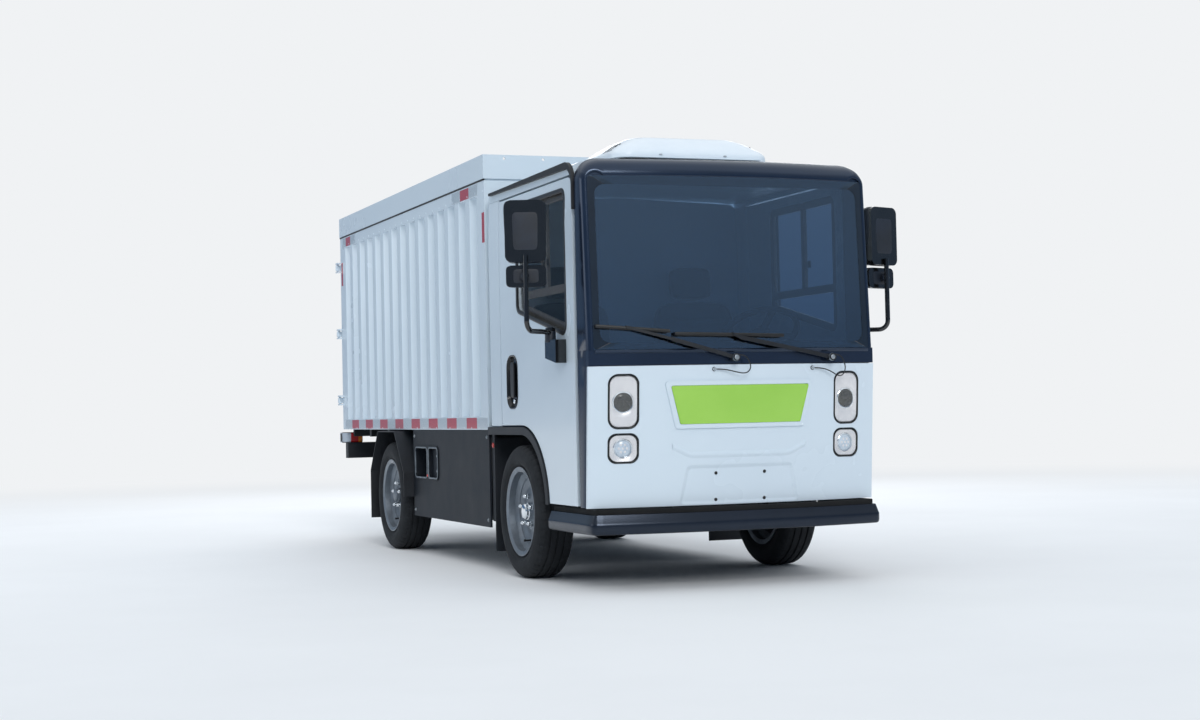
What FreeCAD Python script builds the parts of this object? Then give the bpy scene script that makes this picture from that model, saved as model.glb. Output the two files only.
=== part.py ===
import FreeCAD, Part
import math
import os

# A small electric cab-over garbage truck with a ribbed cargo box.
# Frame: +Z up, the cab faces -Y, +X is the driver's left, origin on the ground under the middle.
# Places along the truck are given as stations: millimetres behind the foot of the front panel.

V = FreeCAD.Vector

# Overall
length = 4698                # wiper spindle caps to the rear hinge knuckles
front_reach = 93             # spindle caps ahead of the front panel's foot
bumper_stand_off = 75        # bumper face ahead of the front panel's foot
body_half = 686              # half width of cab and cargo box
height = 2056                # top of the cargo roof's edge

# Running gear
tyre_radius = 310.5
tyre_width = 185
bead_radius = 190.5
flange_radius = 208
front_axle_s = 934
wheelbase = 2312
front_wheel_x = 620
rear_wheel_x = 635
kingpin_x = 530
hub_face = 20                # wheel disc's mounting face outboard of the wheel's centre plane

# Chassis
rail_in, rail_out = 230, 280
rail_low, rail_top = 420, 520
sheet = 6

# Cab
panel_low, panel_top = 356, 960
belt_top = 1030
glass_top = 1779
bow_radius = 3217            # plan radius of the whole front
panel_lean = -0.0773         # forward lean of the lower front, y per z
glass_lean = 0.0547          # rearward lean of the windshield
door_front_s, door_rear_s = 187, 1218
arch_top = 705
cab_rear_s = 1385
side_shoulder_z = 1600       # above this the cab's side leans in
side_top_z = 1800
side_top_half = 680
door_thick = 42
roof_crown_z = 1872
post_width, post_rear_s = 62, 172
gutter_in, gutter_out = 678, 694

# Cargo box
box_front_s, box_rear_s = 1441, 4569
box_low, box_top = 692, 1927
rib_pitch, rib_depth, rib_slope, rib_floor, rib_count = 195.6, 30, 32, 62, 15
first_rib_s = 1565
wall_thick = 42
rail_height = 65
pin_x, pin_s, pin_radius = 700, 4591, 8
door_gap = 8

parts = {}
os.makedirs("parts", exist_ok=True)


def y(station):
    """Frame Y of a station."""
    return -length / 2 + front_reach + station


front_axle_y = y(front_axle_s)
rear_axle_y = front_axle_y + wheelbase


# ---------------------------------------------------------------- shape helpers

def box(x, y_range, z):
    """Block between (low, high) pairs on each axis."""
    size = [pair[1] - pair[0] for pair in (x, y_range, z)]
    return Part.makeBox(*size, V(x[0], y_range[0], z[0]))


def block(x, stations, z):
    """Block whose Y range is given as two stations."""
    return box(x, (y(stations[0]), y(stations[1])), z)


def prism(outline, axis, low, high):
    """Outline pulled along one axis. Its pairs are the other two axes in X, Y, Z order."""
    place = {"x": lambda a, b: V(low, a, b), "y": lambda a, b: V(a, low, b), "z": lambda a, b: V(a, b, low)}
    pull = {"x": V(high - low, 0, 0), "y": V(0, high - low, 0), "z": V(0, 0, high - low)}
    corners = [place[axis](a, b) for a, b in outline]
    return Part.Face(Part.makePolygon(corners + corners[:1])).extrude(pull[axis])


def side_prism(outline, low, high):
    """Side-view outline of (station, z) pairs pulled along X."""
    return prism([(y(s), z) for s, z in outline], "x", low, high)


def outline_solid(start, steps, place, pull):
    """Closed outline pulled into a solid. A step is the next point, or (via, next) for an arc."""
    edges, here = [], start
    for step in steps + [start]:
        if isinstance(step[0], tuple):
            edges.append(Part.Arc(place(*here), place(*step[0]), place(*step[1])).toShape())
            here = step[1]
        elif step != here:
            edges.append(Part.LineSegment(place(*here), place(*step)).toShape())
            here = step
    return Part.Face(Part.Wire(edges)).extrude(pull)


def side_shape(start, steps, low, high):
    """Side-view outline of (station, z) pairs, arcs allowed, pulled along X."""
    return outline_solid(start, steps, lambda s, z: V(low, y(s), z), V(high - low, 0, 0))


def plan_shape(start, steps, low, high):
    """Plan outline of (x, station) pairs, arcs allowed, pulled upwards."""
    return outline_solid(start, steps, lambda x, s: V(x, y(s), low), V(0, 0, high - low))


def rounded(solid, axis, radius):
    """Round every straight edge that runs along the axis."""
    way = {"x": V(1, 0, 0), "y": V(0, 1, 0), "z": V(0, 0, 1)}[axis]
    edges = []
    for edge in solid.Edges:
        run = edge.Vertexes[-1].Point - edge.Vertexes[0].Point
        straight = edge.Curve.TypeId == "Part::GeomLine"
        if straight and run.Length > 1e-6 and abs(run.normalize().dot(way)) > 0.999:
            edges.append(edge)
    return solid.makeFillet(radius, edges)


def rod(start, end, radius):
    """Round bar between two points."""
    start, end = V(*start), V(*end)
    return Part.makeCylinder(radius, (end - start).Length, start, end - start)


def turned(profile, axis_y, axis_z):
    """Profile of (x, radius) pairs turned about a line along X."""
    points = [V(x, axis_y, axis_z + r) for x, r in profile]
    return Part.Face(Part.makePolygon(points + points[:1])).revolve(V(0, axis_y, axis_z), V(1, 0, 0), 360)


def joined(pieces):
    """One solid from pieces that meet."""
    return pieces[0].multiFuse(pieces[1:]).removeSplitter() if len(pieces) > 1 else pieces[0]


def mirrored(shape):
    """The piece's mirror image on the other side of the truck."""
    return shape.mirror(V(0, 0, 0), V(1, 0, 0))


def both_sides(shape):
    """The piece and its mirror image, as solids that don't touch."""
    return Part.makeCompound(shape.Solids + mirrored(shape).Solids)


def add(name, shape):
    parts[name] = shape


def add_pair(name, left_shape):
    """The left piece and its mirror image, each in a node of its own."""
    add(name + "_left", left_shape)
    add(name + "_right", mirrored(left_shape))


def swept(points, radius, bend):
    """Round bar along straight runs joined by tangent arcs of one bend radius."""
    return pipe(rounded_route([V(*p) for p in points], lambda run, half: bend)[0], radius)


def rounded_route(points, radius_of):
    """Edges of a route: straight runs, with an arc at each inner point."""
    edges, radii, last = [], [], points[0]
    for before, here, after in zip(points, points[1:], points[2:]):
        back, on = before - here, after - here
        half_turn = (math.pi - back.getAngle(on)) / 2
        radius = radius_of(min(back.Length, on.Length), half_turn)
        reach = radius * math.tan(half_turn)
        start = here + V(back).normalize() * reach
        end = here + V(on).normalize() * reach
        inward = (V(back).normalize() + V(on).normalize()).normalize()
        middle = here + inward * (radius / math.cos(half_turn) - radius)
        if (start - last).Length > 1e-6:
            edges.append(Part.LineSegment(last, start).toShape())
        edges.append(Part.Arc(start, middle, end).toShape())
        radii.append(radius)
        last = end
    edges.append(Part.LineSegment(last, points[-1]).toShape())
    return edges, radii


def pipe(edges, radius):
    """Round section carried along the edges."""
    path = Part.Wire(edges)
    start, way = path.Edges[0].Vertexes[0].Point, path.Edges[0].tangentAt(path.Edges[0].FirstParameter)
    section = Part.Wire([Part.makeCircle(radius, start, way)])
    return path.makePipeShell([section], True, True)


# ---------------------------------------------------------------- chassis

def chassis_frame():
    """Two channel rails, cross-members and spring hangers, welded."""
    pieces = []
    for side in (1, -1):
        x_range = sorted((side * rail_in, side * rail_out))
        hollow = sorted((side * (rail_in - 1), side * (rail_out - sheet)))
        rail = block(x_range, (120, 4490), (rail_low, rail_top))
        pieces.append(rail.cut(block(hollow, (100, 4500), (rail_low + sheet, rail_top - sheet))))
    inner = rail_out - sheet
    for station in (150, 720, 1500, 2960, 3700, 4430):
        beam = block((-inner, inner), (station - 25, station + 25), (rail_low + sheet, rail_top - sheet))
        groove = block((-inner - 1, inner + 1), (station - 19, station + 26), (rail_low + 12, rail_top - 12))
        pieces.append(beam.cut(groove))
    for axle in (front_axle_s, front_axle_s + wheelbase):
        for end in (-450, 450):
            for side in (1, -1):
                x_range = sorted((side * 232, side * 278))
                pieces.append(block(x_range, (axle + end - 22, axle + end + 22), (396, rail_low)))
    return joined(pieces)


def leaf_pack(axle_s):
    """Three leaves stacked over an axle, with rolled eyes at the ends, left side."""
    pieces = []
    for index, half in enumerate((450, 340, 230)):
        top = 367 - 8 * index
        rise = 16 * (half / 450) ** 2
        ends = [V(232, y(axle_s + way * half), top + rise) for way in (-1, 1)]
        upper = Part.Arc(ends[0], V(232, y(axle_s), top), ends[1])
        down = V(0, 0, -8)
        lower = Part.Arc(ends[1] + down, V(232, y(axle_s), top - 8), ends[0] + down)
        walls = [Part.LineSegment(ends[1], ends[1] + down), Part.LineSegment(ends[0] + down, ends[0])]
        outline = Part.Wire([upper.toShape(), walls[0].toShape(), lower.toShape(), walls[1].toShape()])
        pieces.append(Part.Face(outline).extrude(V(46, 0, 0)))
    for way in (-1, 1):
        eye = (y(axle_s + way * 450), 379)
        pieces.append(rod((232, *eye), (278, *eye), 13))
    pieces.append(block((226, 284), (axle_s - 45, axle_s + 45), (367, 379)))
    return joined(pieces)


def front_axle():
    """Beam with an upright eye for the kingpin at each end and pads for the springs."""
    y0, z0 = front_axle_y, tyre_radius
    pieces = [box((-505, 505), (y0 - 25, y0 + 25), (z0 - 30, z0 + 22))]
    for side in (1, -1):
        x = side * kingpin_x
        pad = sorted((side * 226, side * 284))
        pieces.append(rod((x, y0, z0 - 34), (x, y0, z0 + 34), 30))
        pieces.append(box(pad, (y0 - 45, y0 + 45), (z0 + 10, 343)))
    beam = joined(pieces)
    for side in (1, -1):
        x = side * kingpin_x
        beam = beam.cut(rod((x, y0, z0 - 40), (x, y0, z0 + 40), 18.3))
    return beam


def rear_axle():
    """Axle tube with brake backplates, stub ends and the gear housing."""
    y0, z0 = rear_axle_y, tyre_radius
    pieces = [rod((-572, y0, z0), (572, y0, z0), 32)]
    for side in (1, -1):
        pad = sorted((side * 226, side * 284))
        pieces.append(rod((side * 560, y0, z0), (side * 572, y0, z0), 122))
        pieces.append(rod((side * 560, y0, z0), (side * (rear_wheel_x + 25), y0, z0), 20))
        pieces.append(box(pad, (y0 - 45, y0 + 45), (z0, 343)))
    pieces.append(rod((-70, y0, z0), (90, y0, z0), 100))
    return joined(pieces)


def drive_motor():
    """Traction motor as one plain drum ahead of the gear housing."""
    centre = (rear_axle_y - 185, tyre_radius + 20)
    return rod((-170, *centre), (180, *centre), 85)


def knuckle():
    """Left knuckle: kingpin, two ears, a yoke, the backplate and the stub axle."""
    x, y0, z0 = kingpin_x, front_axle_y, tyre_radius
    pieces = [rod((x, y0, z0 - 82), (x, y0, z0 + 82), 18)]
    for low in (z0 - 80, z0 + 40):
        pieces.append(rod((x, y0, low), (x, y0, low + 40), 27))
        pieces.append(box((x, x + 42), (y0 - 25, y0 + 25), (low, low + 40)))
    pieces.append(box((x + 36, x + 48), (y0 - 38, y0 + 38), (z0 - 80, z0 + 80)))
    pieces.append(rod((x + 46, y0, z0), (x + 54, y0, z0), 122))
    pieces.append(rod((x + 46, y0, z0), (front_wheel_x + 25, y0, z0), 20))
    return joined(pieces)


def rim(centre_x, axle_y, drum_back):
    """Left steel wheel: rolled barrel, disc set back in it, brake drum and hub on the stub."""
    c, r = centre_x, flange_radius
    barrel = [
        (c + 80, r), (c + 80, r - 6), (c + 74, 186), (c + 44, 184), (c + 30, 157), (c - 26, 157),
        (c - 46, 184), (c - 76, 186), (c - 80, r - 6), (c - 80, r), (c - 73, r), (c - 67, bead_radius),
        (c - 46, 189.5), (c - 28, 163), (c + 32, 163), (c + 46, 189.5), (c + 67, bead_radius), (c + 73, r),
    ]
    face = c + hub_face
    disc = [
        (face, 0), (face + 8, 0), (face + 8, 84), (face - 2, 118), (face + 8, 150), (face + 8, 160),
        (face, 160), (face, 152), (face - 10, 118), (face, 80),
    ]
    drum = [(face + 1, 0), (face + 1, 118), (drum_back, 118), (drum_back, 112), (face - 8, 108),
            (face - 8, 0)]
    nose = [(face, 0), (face, 40), (face + 30, 36), (face + 44, 24), (face + 46, 0)]
    wheel = joined([turned(p, axle_y, tyre_radius) for p in (barrel, disc, drum, nose)])
    hub = turned([(drum_back + 4, 0), (drum_back + 4, 48), (face, 48), (face, 0)], axle_y, tyre_radius)
    bore = rod((drum_back - 1, axle_y, tyre_radius), (c + 28, axle_y, tyre_radius), 20.5)
    wheel = joined([wheel, hub]).cut(bore)
    for turn in range(5):
        angle = math.radians(90 + 72 * turn)
        at = (axle_y + 70 * math.cos(angle), tyre_radius + 70 * math.sin(angle))
        wheel = wheel.fuse(rod((face + 8, *at), (face + 34, *at), 11))
    return wheel.removeSplitter()


def tyre(centre_x, axle_y):
    """Ring with beads, bulging walls and a crowned tread, seated on the barrel."""
    half = tyre_width / 2
    upper = [
        (half - 27, bead_radius + 0.5), (half - 21, 212), (half - 6, 228), (half, 252), (half - 5, 278),
        (half - 17, 301), (half - 30, 307.5), (0, tyre_radius),
    ]
    outline = upper + [(-x, r) for x, r in reversed(upper[:-1])]
    outline += [(-48, bead_radius + 0.5), (-40, 204), (40, 204), (48, bead_radius + 0.5)]
    return turned([(centre_x + x, r) for x, r in outline], axle_y, tyre_radius)


def battery_pack():
    """Traction battery as one plain block hung under the rails."""
    return block((-560, 560), (1600, 2740), (225, rail_low))


add("chassis_frame", chassis_frame())
add("battery_pack", battery_pack())
add("drive_motor", drive_motor())
add("front_axle", front_axle())
add("rear_axle", rear_axle())
add("leaf_springs", Part.makeCompound([s for axle in (front_axle_s, front_axle_s + wheelbase)
                                       for s in both_sides(leaf_pack(axle)).Solids]))
add_pair("knuckle", knuckle())
for end, wheel_x, axle_y, drum_back in (
    ("front", front_wheel_x, front_axle_y, kingpin_x + 60),
    ("rear", rear_wheel_x, rear_axle_y, 578),
):
    add_pair("rim_" + end, rim(wheel_x, axle_y, drum_back))
    add_pair("tyre_" + end, tyre(wheel_x, axle_y))


# ---------------------------------------------------------------- the bowed front

def front_station(z):
    """Station of the outer face on the centre line at height z."""
    if z <= panel_top:
        return panel_lean * (z - panel_low)
    belt = front_station(panel_top)
    return belt + glass_lean * max(0, z - belt_top)


def front_slab(near, far, half, z_low, z_high):
    """Slab that follows the bowed, leaning front between two depths behind its outer face."""
    centre_y = y(front_station(z_low)) + bow_radius

    def arc(depth, way):
        r = bow_radius - depth
        at = [V(x, centre_y - math.sqrt(r * r - x * x), z_low) for x in (-half * way, 0, half * way)]
        return Part.Arc(*at).toShape()

    outer, inner = arc(near, 1), arc(far, -1)
    ends = [Part.LineSegment(outer.Vertexes[-1].Point, inner.Vertexes[0].Point).toShape(),
            Part.LineSegment(inner.Vertexes[-1].Point, outer.Vertexes[0].Point).toShape()]
    shift = y(front_station(z_high)) - y(front_station(z_low))
    face = Part.Face(Part.Wire([outer, ends[0], inner, ends[1]]))
    return face.extrude(V(0, shift, z_high - z_low))


def front_patch(outline, near, far, z_low, z_high, round_by=0):
    """The part of a front slab inside a front-view outline of (x, z) pairs."""
    cutter = prism(outline, "y", y(-200), y(300))
    if round_by:
        cutter = rounded(cutter, "y", round_by)
    return front_slab(near, far, body_half - 4, z_low, z_high).common(cutter)


def rectangle(x, z, half_x, half_z):
    """Four (x, z) corners about a middle."""
    return [(x - half_x, z - half_z), (x + half_x, z - half_z), (x + half_x, z + half_z),
            (x - half_x, z + half_z)]


headlamp_x = 533
lamp_outlines = {
    "headlamps": (rectangle(headlamp_x, 809, 67, 117), 45),
    "indicator_lamps": (rectangle(headlamp_x, 609, 67, 64), 38),
}
badge_outline = [(-286, 707), (286, 707), (329, 872), (-329, 872)]
boss_outline = [(-306, 688), (306, 688), (356, 892), (-356, 892)]
plate_recess = [(-285, panel_low + 4), (285, panel_low + 4), (249, 527), (-249, 527)]
grommets = ((-131, 941), (350, 942))


def grown(outline, by):
    """A four-cornered outline pushed outwards on both axes."""
    middle_x = sum(p[0] for p in outline) / 4
    middle_z = sum(p[1] for p in outline) / 4
    return [(x + math.copysign(by, x - middle_x), z + math.copysign(by, z - middle_z)) for x, z in outline]


def front_panel():
    """White lower front: bowed sheet with a raised boss, a plate recess and lamp openings."""
    panel = front_slab(0, 16, body_half - 2, panel_low, panel_top)
    boss = front_patch(boss_outline, -8, 4, panel_low, panel_top, 14)
    panel = panel.fuse(boss)
    panel = panel.cut(front_patch(grown(badge_outline, 1), -20, -4, panel_low, panel_top, 8))
    panel = panel.cut(front_patch(plate_recess, -20, 6, panel_low, panel_top, 14))
    for outline, radius in lamp_outlines.values():
        opening = front_patch(grown(outline, 1), -30, 60, panel_low, panel_top, radius)
        panel = panel.cut(opening).cut(mirrored(opening))
    for x in (-116, 116):
        for z in (378, 493):
            panel = panel.cut(rod((x, y(-100), z), (x, y(100), z), 4))
    for x, z in grommets:
        start = y(front_station(z)) + x * x / (2 * bow_radius)
        panel = panel.fuse(rod((x, start - 8, z), (x, start + 4, z), 7))
    return panel.removeSplitter()


def lamps(name):
    """Left and right lamp bodies, standing a little proud of the panel."""
    outline, radius = lamp_outlines[name]
    return both_sides(front_patch(outline, -3, 46, panel_low, panel_top, radius))


def windshield_frame():
    """Black corner posts and the header over the glass, with seats for glass and gutters."""
    pieces = []
    for side in (1, -1):
        outer, inner, corner = (side * (body_half - back) for back in (0, post_width, 31))
        lower = [(outer, y(20)), (outer, y(post_rear_s)), (inner, y(post_rear_s)), (inner, y(20))]
        pieces.append(prism(lower, "z", panel_low, panel_top))
        turn = [(side * x, y(s)) for x, s in ((686, 64), (682, 46), (672, 31), (655, 20))]
        pieces.append(prism([(outer, y(post_rear_s)), (inner, y(post_rear_s)), (inner, y(-40)),
                             (corner, y(-40)), *reversed(turn)], "z", panel_top, glass_top - 5))
    header = [(-20, glass_top - 7), (post_rear_s, glass_top - 7), (post_rear_s, 1842), (150, 1866),
              (84, 1862), (34, 1842), (6, 1806)]
    pieces.append(side_prism(header, -body_half + 12, body_half - 12))
    frame = joined(pieces)
    top_trim = prism([(-900, 1700), (-900, 1960), (900, 1960), (900, 1700), (body_half, 1700),
                      (672, 1796), (640, 1846), (560, 1864), (-560, 1864), (-640, 1846), (-672, 1796),
                      (-body_half, 1700)], "y", y(-100), y(400))
    frame = frame.cut(top_trim)
    for side in (1, -1):
        seat = sorted((side * gutter_in, side * 720))
        frame = frame.cut(block(seat, (150, 200), (1640, 1800)))
    frame = frame.cut(front_slab(-200, 16, 900, panel_low - 1, panel_top))
    frame = frame.cut(front_slab(-200, 34, 900, panel_top, belt_top))
    frame = frame.cut(front_slab(-200, 0, 900, belt_top, 1960))
    return frame.cut(front_slab(-200, 9, body_half - 26, belt_top - 1, glass_top + 1))


def cowl_panel():
    """Black strip between the white panel and the glass."""
    return front_slab(0, 34, body_half - 4, panel_top + 3, belt_top)


def windshield():
    """Bowed laminated glass set between the posts."""
    return front_slab(2, 9, body_half - 26, belt_top + 1, glass_top)


add("front_panel", front_panel())
add("badge_plate", front_patch(badge_outline, -9, -4.5, panel_low, panel_top, 8))
for lamp_name in lamp_outlines:
    add(lamp_name, lamps(lamp_name))
add("cowl_panel", cowl_panel())
add("windshield", windshield())
add("windshield_frame", windshield_frame())


def front_bumper():
    """Black bumper bar that wraps round to the wheel arches, on two brackets from the rails."""
    def layer(inset, z_low, z_high):
        front, side, turn = -bumper_stand_off + inset, 695 - inset, 683 - 0.65 * inset
        steps = [
            ((0, front), (650, front + 66)), ((turn, front + 84), (side, front + 118)), (side, 550),
            (655, 550), (655, 100), (610, 50), ((0, front + 60), (-610, 50)), (-655, 100), (-655, 550),
            (-side, 550), (-side, front + 118), ((-turn, front + 84), (-650, front + 66)),
        ]
        return plan_shape((-650, front + 66), steps, z_low, z_high)

    layers = ((7, 245, 253), (0, 253, 304), (5, 304, 317), (15, 317, 328), (34, 328, 352))
    pieces = [layer(*sizes) for sizes in layers]
    for side in (1, -1):
        x_range = sorted((side * 236, side * 274))
        pieces.append(block(x_range, (-30, 120), (262, 330)))
        pieces.append(block(x_range, (96, 120), (262, 500)))
    return joined(pieces)


wiper_pivots = ((-44, 990), (436, 988))
wiper_arms = (((-44, 990), (-331, 1072), (-529, 1126)), ((436, 988), (-19, 1077), (-51, 1092)))
wiper_blades = (((-655, 1131), (-337, 1106)), ((-315, 1094), (196, 1084)))


def ahead(x, proud, z):
    """Point a given distance ahead of the bowed front's outer face."""
    return V(x, y(front_station(z)) + x * x / (2 * bow_radius) - proud, z)


def wipers():
    """Two arms with their blades, parked low and towards the right-hand side."""
    def strip(ends, near, far, half):
        (x0, z0), (x1, z1) = ends
        outline = [(x0, z0 - half), (x1, z1 - half), (x1, z1 + half), (x0, z0 + half)]
        return front_slab(near, far, body_half, 970, 1200).common(prism(outline, "y", y(-200), y(300)))

    pieces = []
    for (x, z), arm, blade in zip(wiper_pivots, wiper_arms, wiper_blades):
        boss = Part.makeCylinder(16, 44, ahead(x, 46, z), V(0, 1, 0))
        runs = [strip(run, -34, -24, half) for run, half in zip(zip(arm, arm[1:]), (9, 6))]
        pieces.append(joined([boss, *runs, strip(blade, -26, -9, 7)]))
    return Part.makeCompound([s for piece in pieces for s in piece.Solids])


# Points are (x, distance ahead of the front, z): out of the spindle cap, round and into the panel
hose_diameter = 5
hose_routes = {
    "washer_hose_right": [
        (-36, 40, 1001), (-12, 42, 1000), (8, 40, 986), (22, 38, 964), (26, 34, 942), (14, 30, 924),
        (-8, 26, 921), (-36, 22, 927), (-66, 16, 935), (-96, 10, 940), (-126, 5, 941),
    ],
    "washer_hose_left": [
        (444, 40, 1000), (468, 42, 998), (488, 40, 984), (501, 38, 962), (507, 36, 938), (502, 32, 915),
        (485, 30, 903), (464, 28, 908), (442, 24, 922), (416, 18, 934), (387, 11, 940), (356, 5, 942),
    ],
}


def washer_hose(route):
    """Thin free tube: each arc is as large as its two runs allow."""
    points = [ahead(*p) for p in route]
    edges, radii = rounded_route(points, lambda run, half_turn: 0.45 * run / math.tan(half_turn))
    tube = pipe(edges, hose_diameter / 2)
    length_along = sum(edge.Length for edge in edges)
    section = math.pi * hose_diameter ** 2 / 4
    print("hose length %.0f, tightest bend %.1f, volume over section x length %.4f"
          % (length_along, min(radii), tube.Volume / section / length_along))
    print("route in metres", [tuple(round(v / 1000, 4) for v in p) for p in points])
    return tube


add("front_bumper", front_bumper())
add("wipers", wipers())
for hose_name, route in hose_routes.items():
    add(hose_name, washer_hose(route))


# ---------------------------------------------------------------- cab shell

def side_skin(inner):
    """Left side of the cab as a slab: upright to the shoulder, then leaning in."""
    out, lean_out = body_half, side_top_half
    outline = [(out, 300), (out, side_shoulder_z), (lean_out, side_top_z), (lean_out, 1900),
               (lean_out - inner, 1900), (lean_out - inner, side_top_z), (out - inner, side_shoulder_z),
               (out - inner, 300)]
    return prism(outline, "y", y(0), y(1500))


def roof_outline(drop):
    """Front-view outline of the roof panel's outer or inner line."""
    half = gutter_in - drop
    return [(half, side_top_z + 2), (half, 1838 - drop / 3), (half - 30, 1852 - drop),
            (half - 88, 1859 - drop), (0, roof_crown_z - drop)]


def cab_roof():
    """White pressed roof panel with rolled edges."""
    outer = roof_outline(0)
    inner = roof_outline(28)
    outline = outer + [(-x, z) for x, z in reversed(outer[:-1])]
    outline += [(-x, z) for x, z in inner] + list(reversed(inner[:-1]))
    return prism(outline, "y", y(176), y(cab_rear_s + 3))


def cab_back_wall():
    """Rear wall of the cab, under the roof."""
    half = body_half - door_thick - 2
    right = [(634, 700), (634, arch_top + 2), (half, arch_top + 2), (half, side_shoulder_z), (half - 8, 1799),
             (608, 1817)]
    outline = [(-x, z) for x, z in reversed(right)] + right + [(0, 1840)]
    return prism(outline, "y", y(cab_rear_s - 40), y(cab_rear_s))


def cab_floor():
    """Footwell, riser, seat platform, front bulkhead and side sills in one welded pan."""
    pieces = [
        block((-620, 620), (112, 562), (530, 542)),
        block((-620, 620), (550, 562), (530, 700)),
        block((-636, 636), (550, cab_rear_s), (688, 700)),
        block((-620, 620), (100, 112), (530, 950)),
    ]
    for side in (1, -1):
        sill = sorted((side * 560, side * 620))
        rail = sorted((side * 236, side * 274))
        pieces += [block(sill, (112, 548), (392, 542)), block(rail, (140, 548), (rail_top, 530)),
                   block(rail, (1290, 1370), (rail_top, 690))]
    return joined(pieces)


def cab_quarter():
    """Fixed white panel behind the left door."""
    panel = block((600, 700), (door_rear_s + 7, cab_rear_s), (arch_top + 6, side_top_z))
    return side_skin(door_thick).common(panel)


def roof_gutters():
    """Black drip moulding along each roof edge, curving down the corner post."""
    steps = [(262, 1858), ((180, 1826), (156, 1745)), (156, 1645), (170, 1645), (170, 1745),
             ((192, 1806), (262, 1828)), (1348, 1836)]
    return both_sides(side_shape((1348, 1848), steps, gutter_in, gutter_out))


def dashboard():
    """Facia across the cab with the steering column rising from it."""
    facia = side_prism([(36, 978), (36, 998), (190, 1018), (330, 985), (372, 930), (340, 760), (112, 720),
                        (112, 978)], -618, 618).cut(front_slab(-200, 38, 900, panel_top, 1100))
    x, s, z = wheel_hub
    foot = (x, y(s - 0.6 * 250), z - 0.8 * 250)
    head = (x, y(s - 0.6 * 36), z - 0.8 * 36)
    return joined([facia, rod(foot, head, 34)])


def seats():
    """Driver's and passenger's seats, each with its cushion, back and headrest."""
    side = side_prism([(745, 712), (742, 835), (775, 868), (1120, 846), (1160, 900), (1208, 1290),
                       (1222, 1310), (1300, 1310), (1310, 1290), (1275, 740), (1255, 712)], 115, 555)
    head = side_prism([(1216, 1300), (1232, 1480), (1250, 1500), (1305, 1500), (1305, 1300)], 220, 450)
    base = block((160, 510), (790, 1220), (700, 712))
    return both_sides(joined([side, head, base]))


wheel_hub = (330, 470, 1110)      # steering wheel centre: x, station, z
column_back = 0.6                 # the column's axis is (0, 0.6, 0.8)


def steering_wheel():
    """Rim, three spokes and a hub, square to the column."""
    ring = Part.makeTorus(184, 14)
    spokes = [Part.makeBox(150, 30, 12, V(35, -15, -16)) for _ in range(3)]
    for turn, spoke in zip((0, 180, 270), spokes):
        spoke.rotate(V(0, 0, 0), V(0, 0, 1), turn)
    wheel = joined([ring, Part.makeCylinder(52, 26, V(0, 0, -28)), *spokes])
    wheel.rotate(V(0, 0, 0), V(1, 0, 0), -math.degrees(math.asin(column_back)))
    wheel.translate(V(wheel_hub[0], y(wheel_hub[1]), wheel_hub[2]))
    return wheel


def air_conditioner():
    """White roof unit on a narrower black plinth."""
    side = side_prism([(402, 1896), (406, 1922), (470, 1974), (560, 2014), (640, 2022), (800, 2006),
                       (905, 1950), (925, 1896)], -386, 386)
    front = prism([(-386, 1890), (386, 1890), (386, 1922), (300, 2024), (-300, 2024), (-386, 1922)],
                  "y", y(300), y(1000))
    hood = side.common(front)
    plinth = block((-330, 330), (440, 890), (1840, 1896))
    under_roof = prism([(-700, 1700), (700, 1700)] + roof_outline(0)[1:-1]
                       + [(0, roof_crown_z)] + [(-x, z) for x, z in reversed(roof_outline(0)[1:-1])],
                       "y", y(300), y(1000))
    return joined([hood, plinth.cut(under_roof)])


add("cab_floor", cab_floor())
add("cab_back_wall", cab_back_wall())
add("cab_roof", cab_roof())
add_pair("cab_quarter", cab_quarter())
add("roof_gutters", roof_gutters())
add("dashboard", dashboard())
add("seats", seats())
add("steering_wheel", steering_wheel())
add("roof_air_conditioner", air_conditioner())


# ---------------------------------------------------------------- cab doors and mirrors

window_outline = [(286, 1107), (960, 1250), (960, 1746), (286, 1746)]


def window(low, high):
    """Rounded window shape pulled along X."""
    return rounded(side_prism(window_outline, low, high), "x", 42)


def cab_door():
    """Left door: the whole side from the corner post back, cut round the wheel arch, with sash bars."""
    front, rear, top = door_front_s, door_rear_s, 1792
    over_arch = arch_top + 8
    steps = [(548, panel_low + 6), ((661, 608), (905, over_arch)), (rear, over_arch), (rear, top),
             (front + 60, top), ((front + 17, top - 18), (front, top - 60))]
    door = side_skin(door_thick).common(side_shape((front, panel_low + 6), steps, 600, 720))
    door = door.cut(window(600, 720))
    pocket = rounded(block((body_half - 14, 720), (972, 1128), (796, 1040)), "x", 60)
    bars = [block((644, 658), (280, 966), (1303, 1335)), block((644, 658), (598, 626), (1330, 1750))]
    return joined([door.cut(pocket), *bars])


def door_glass():
    """Panes set in the door's window."""
    return window(660, 666)


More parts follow.
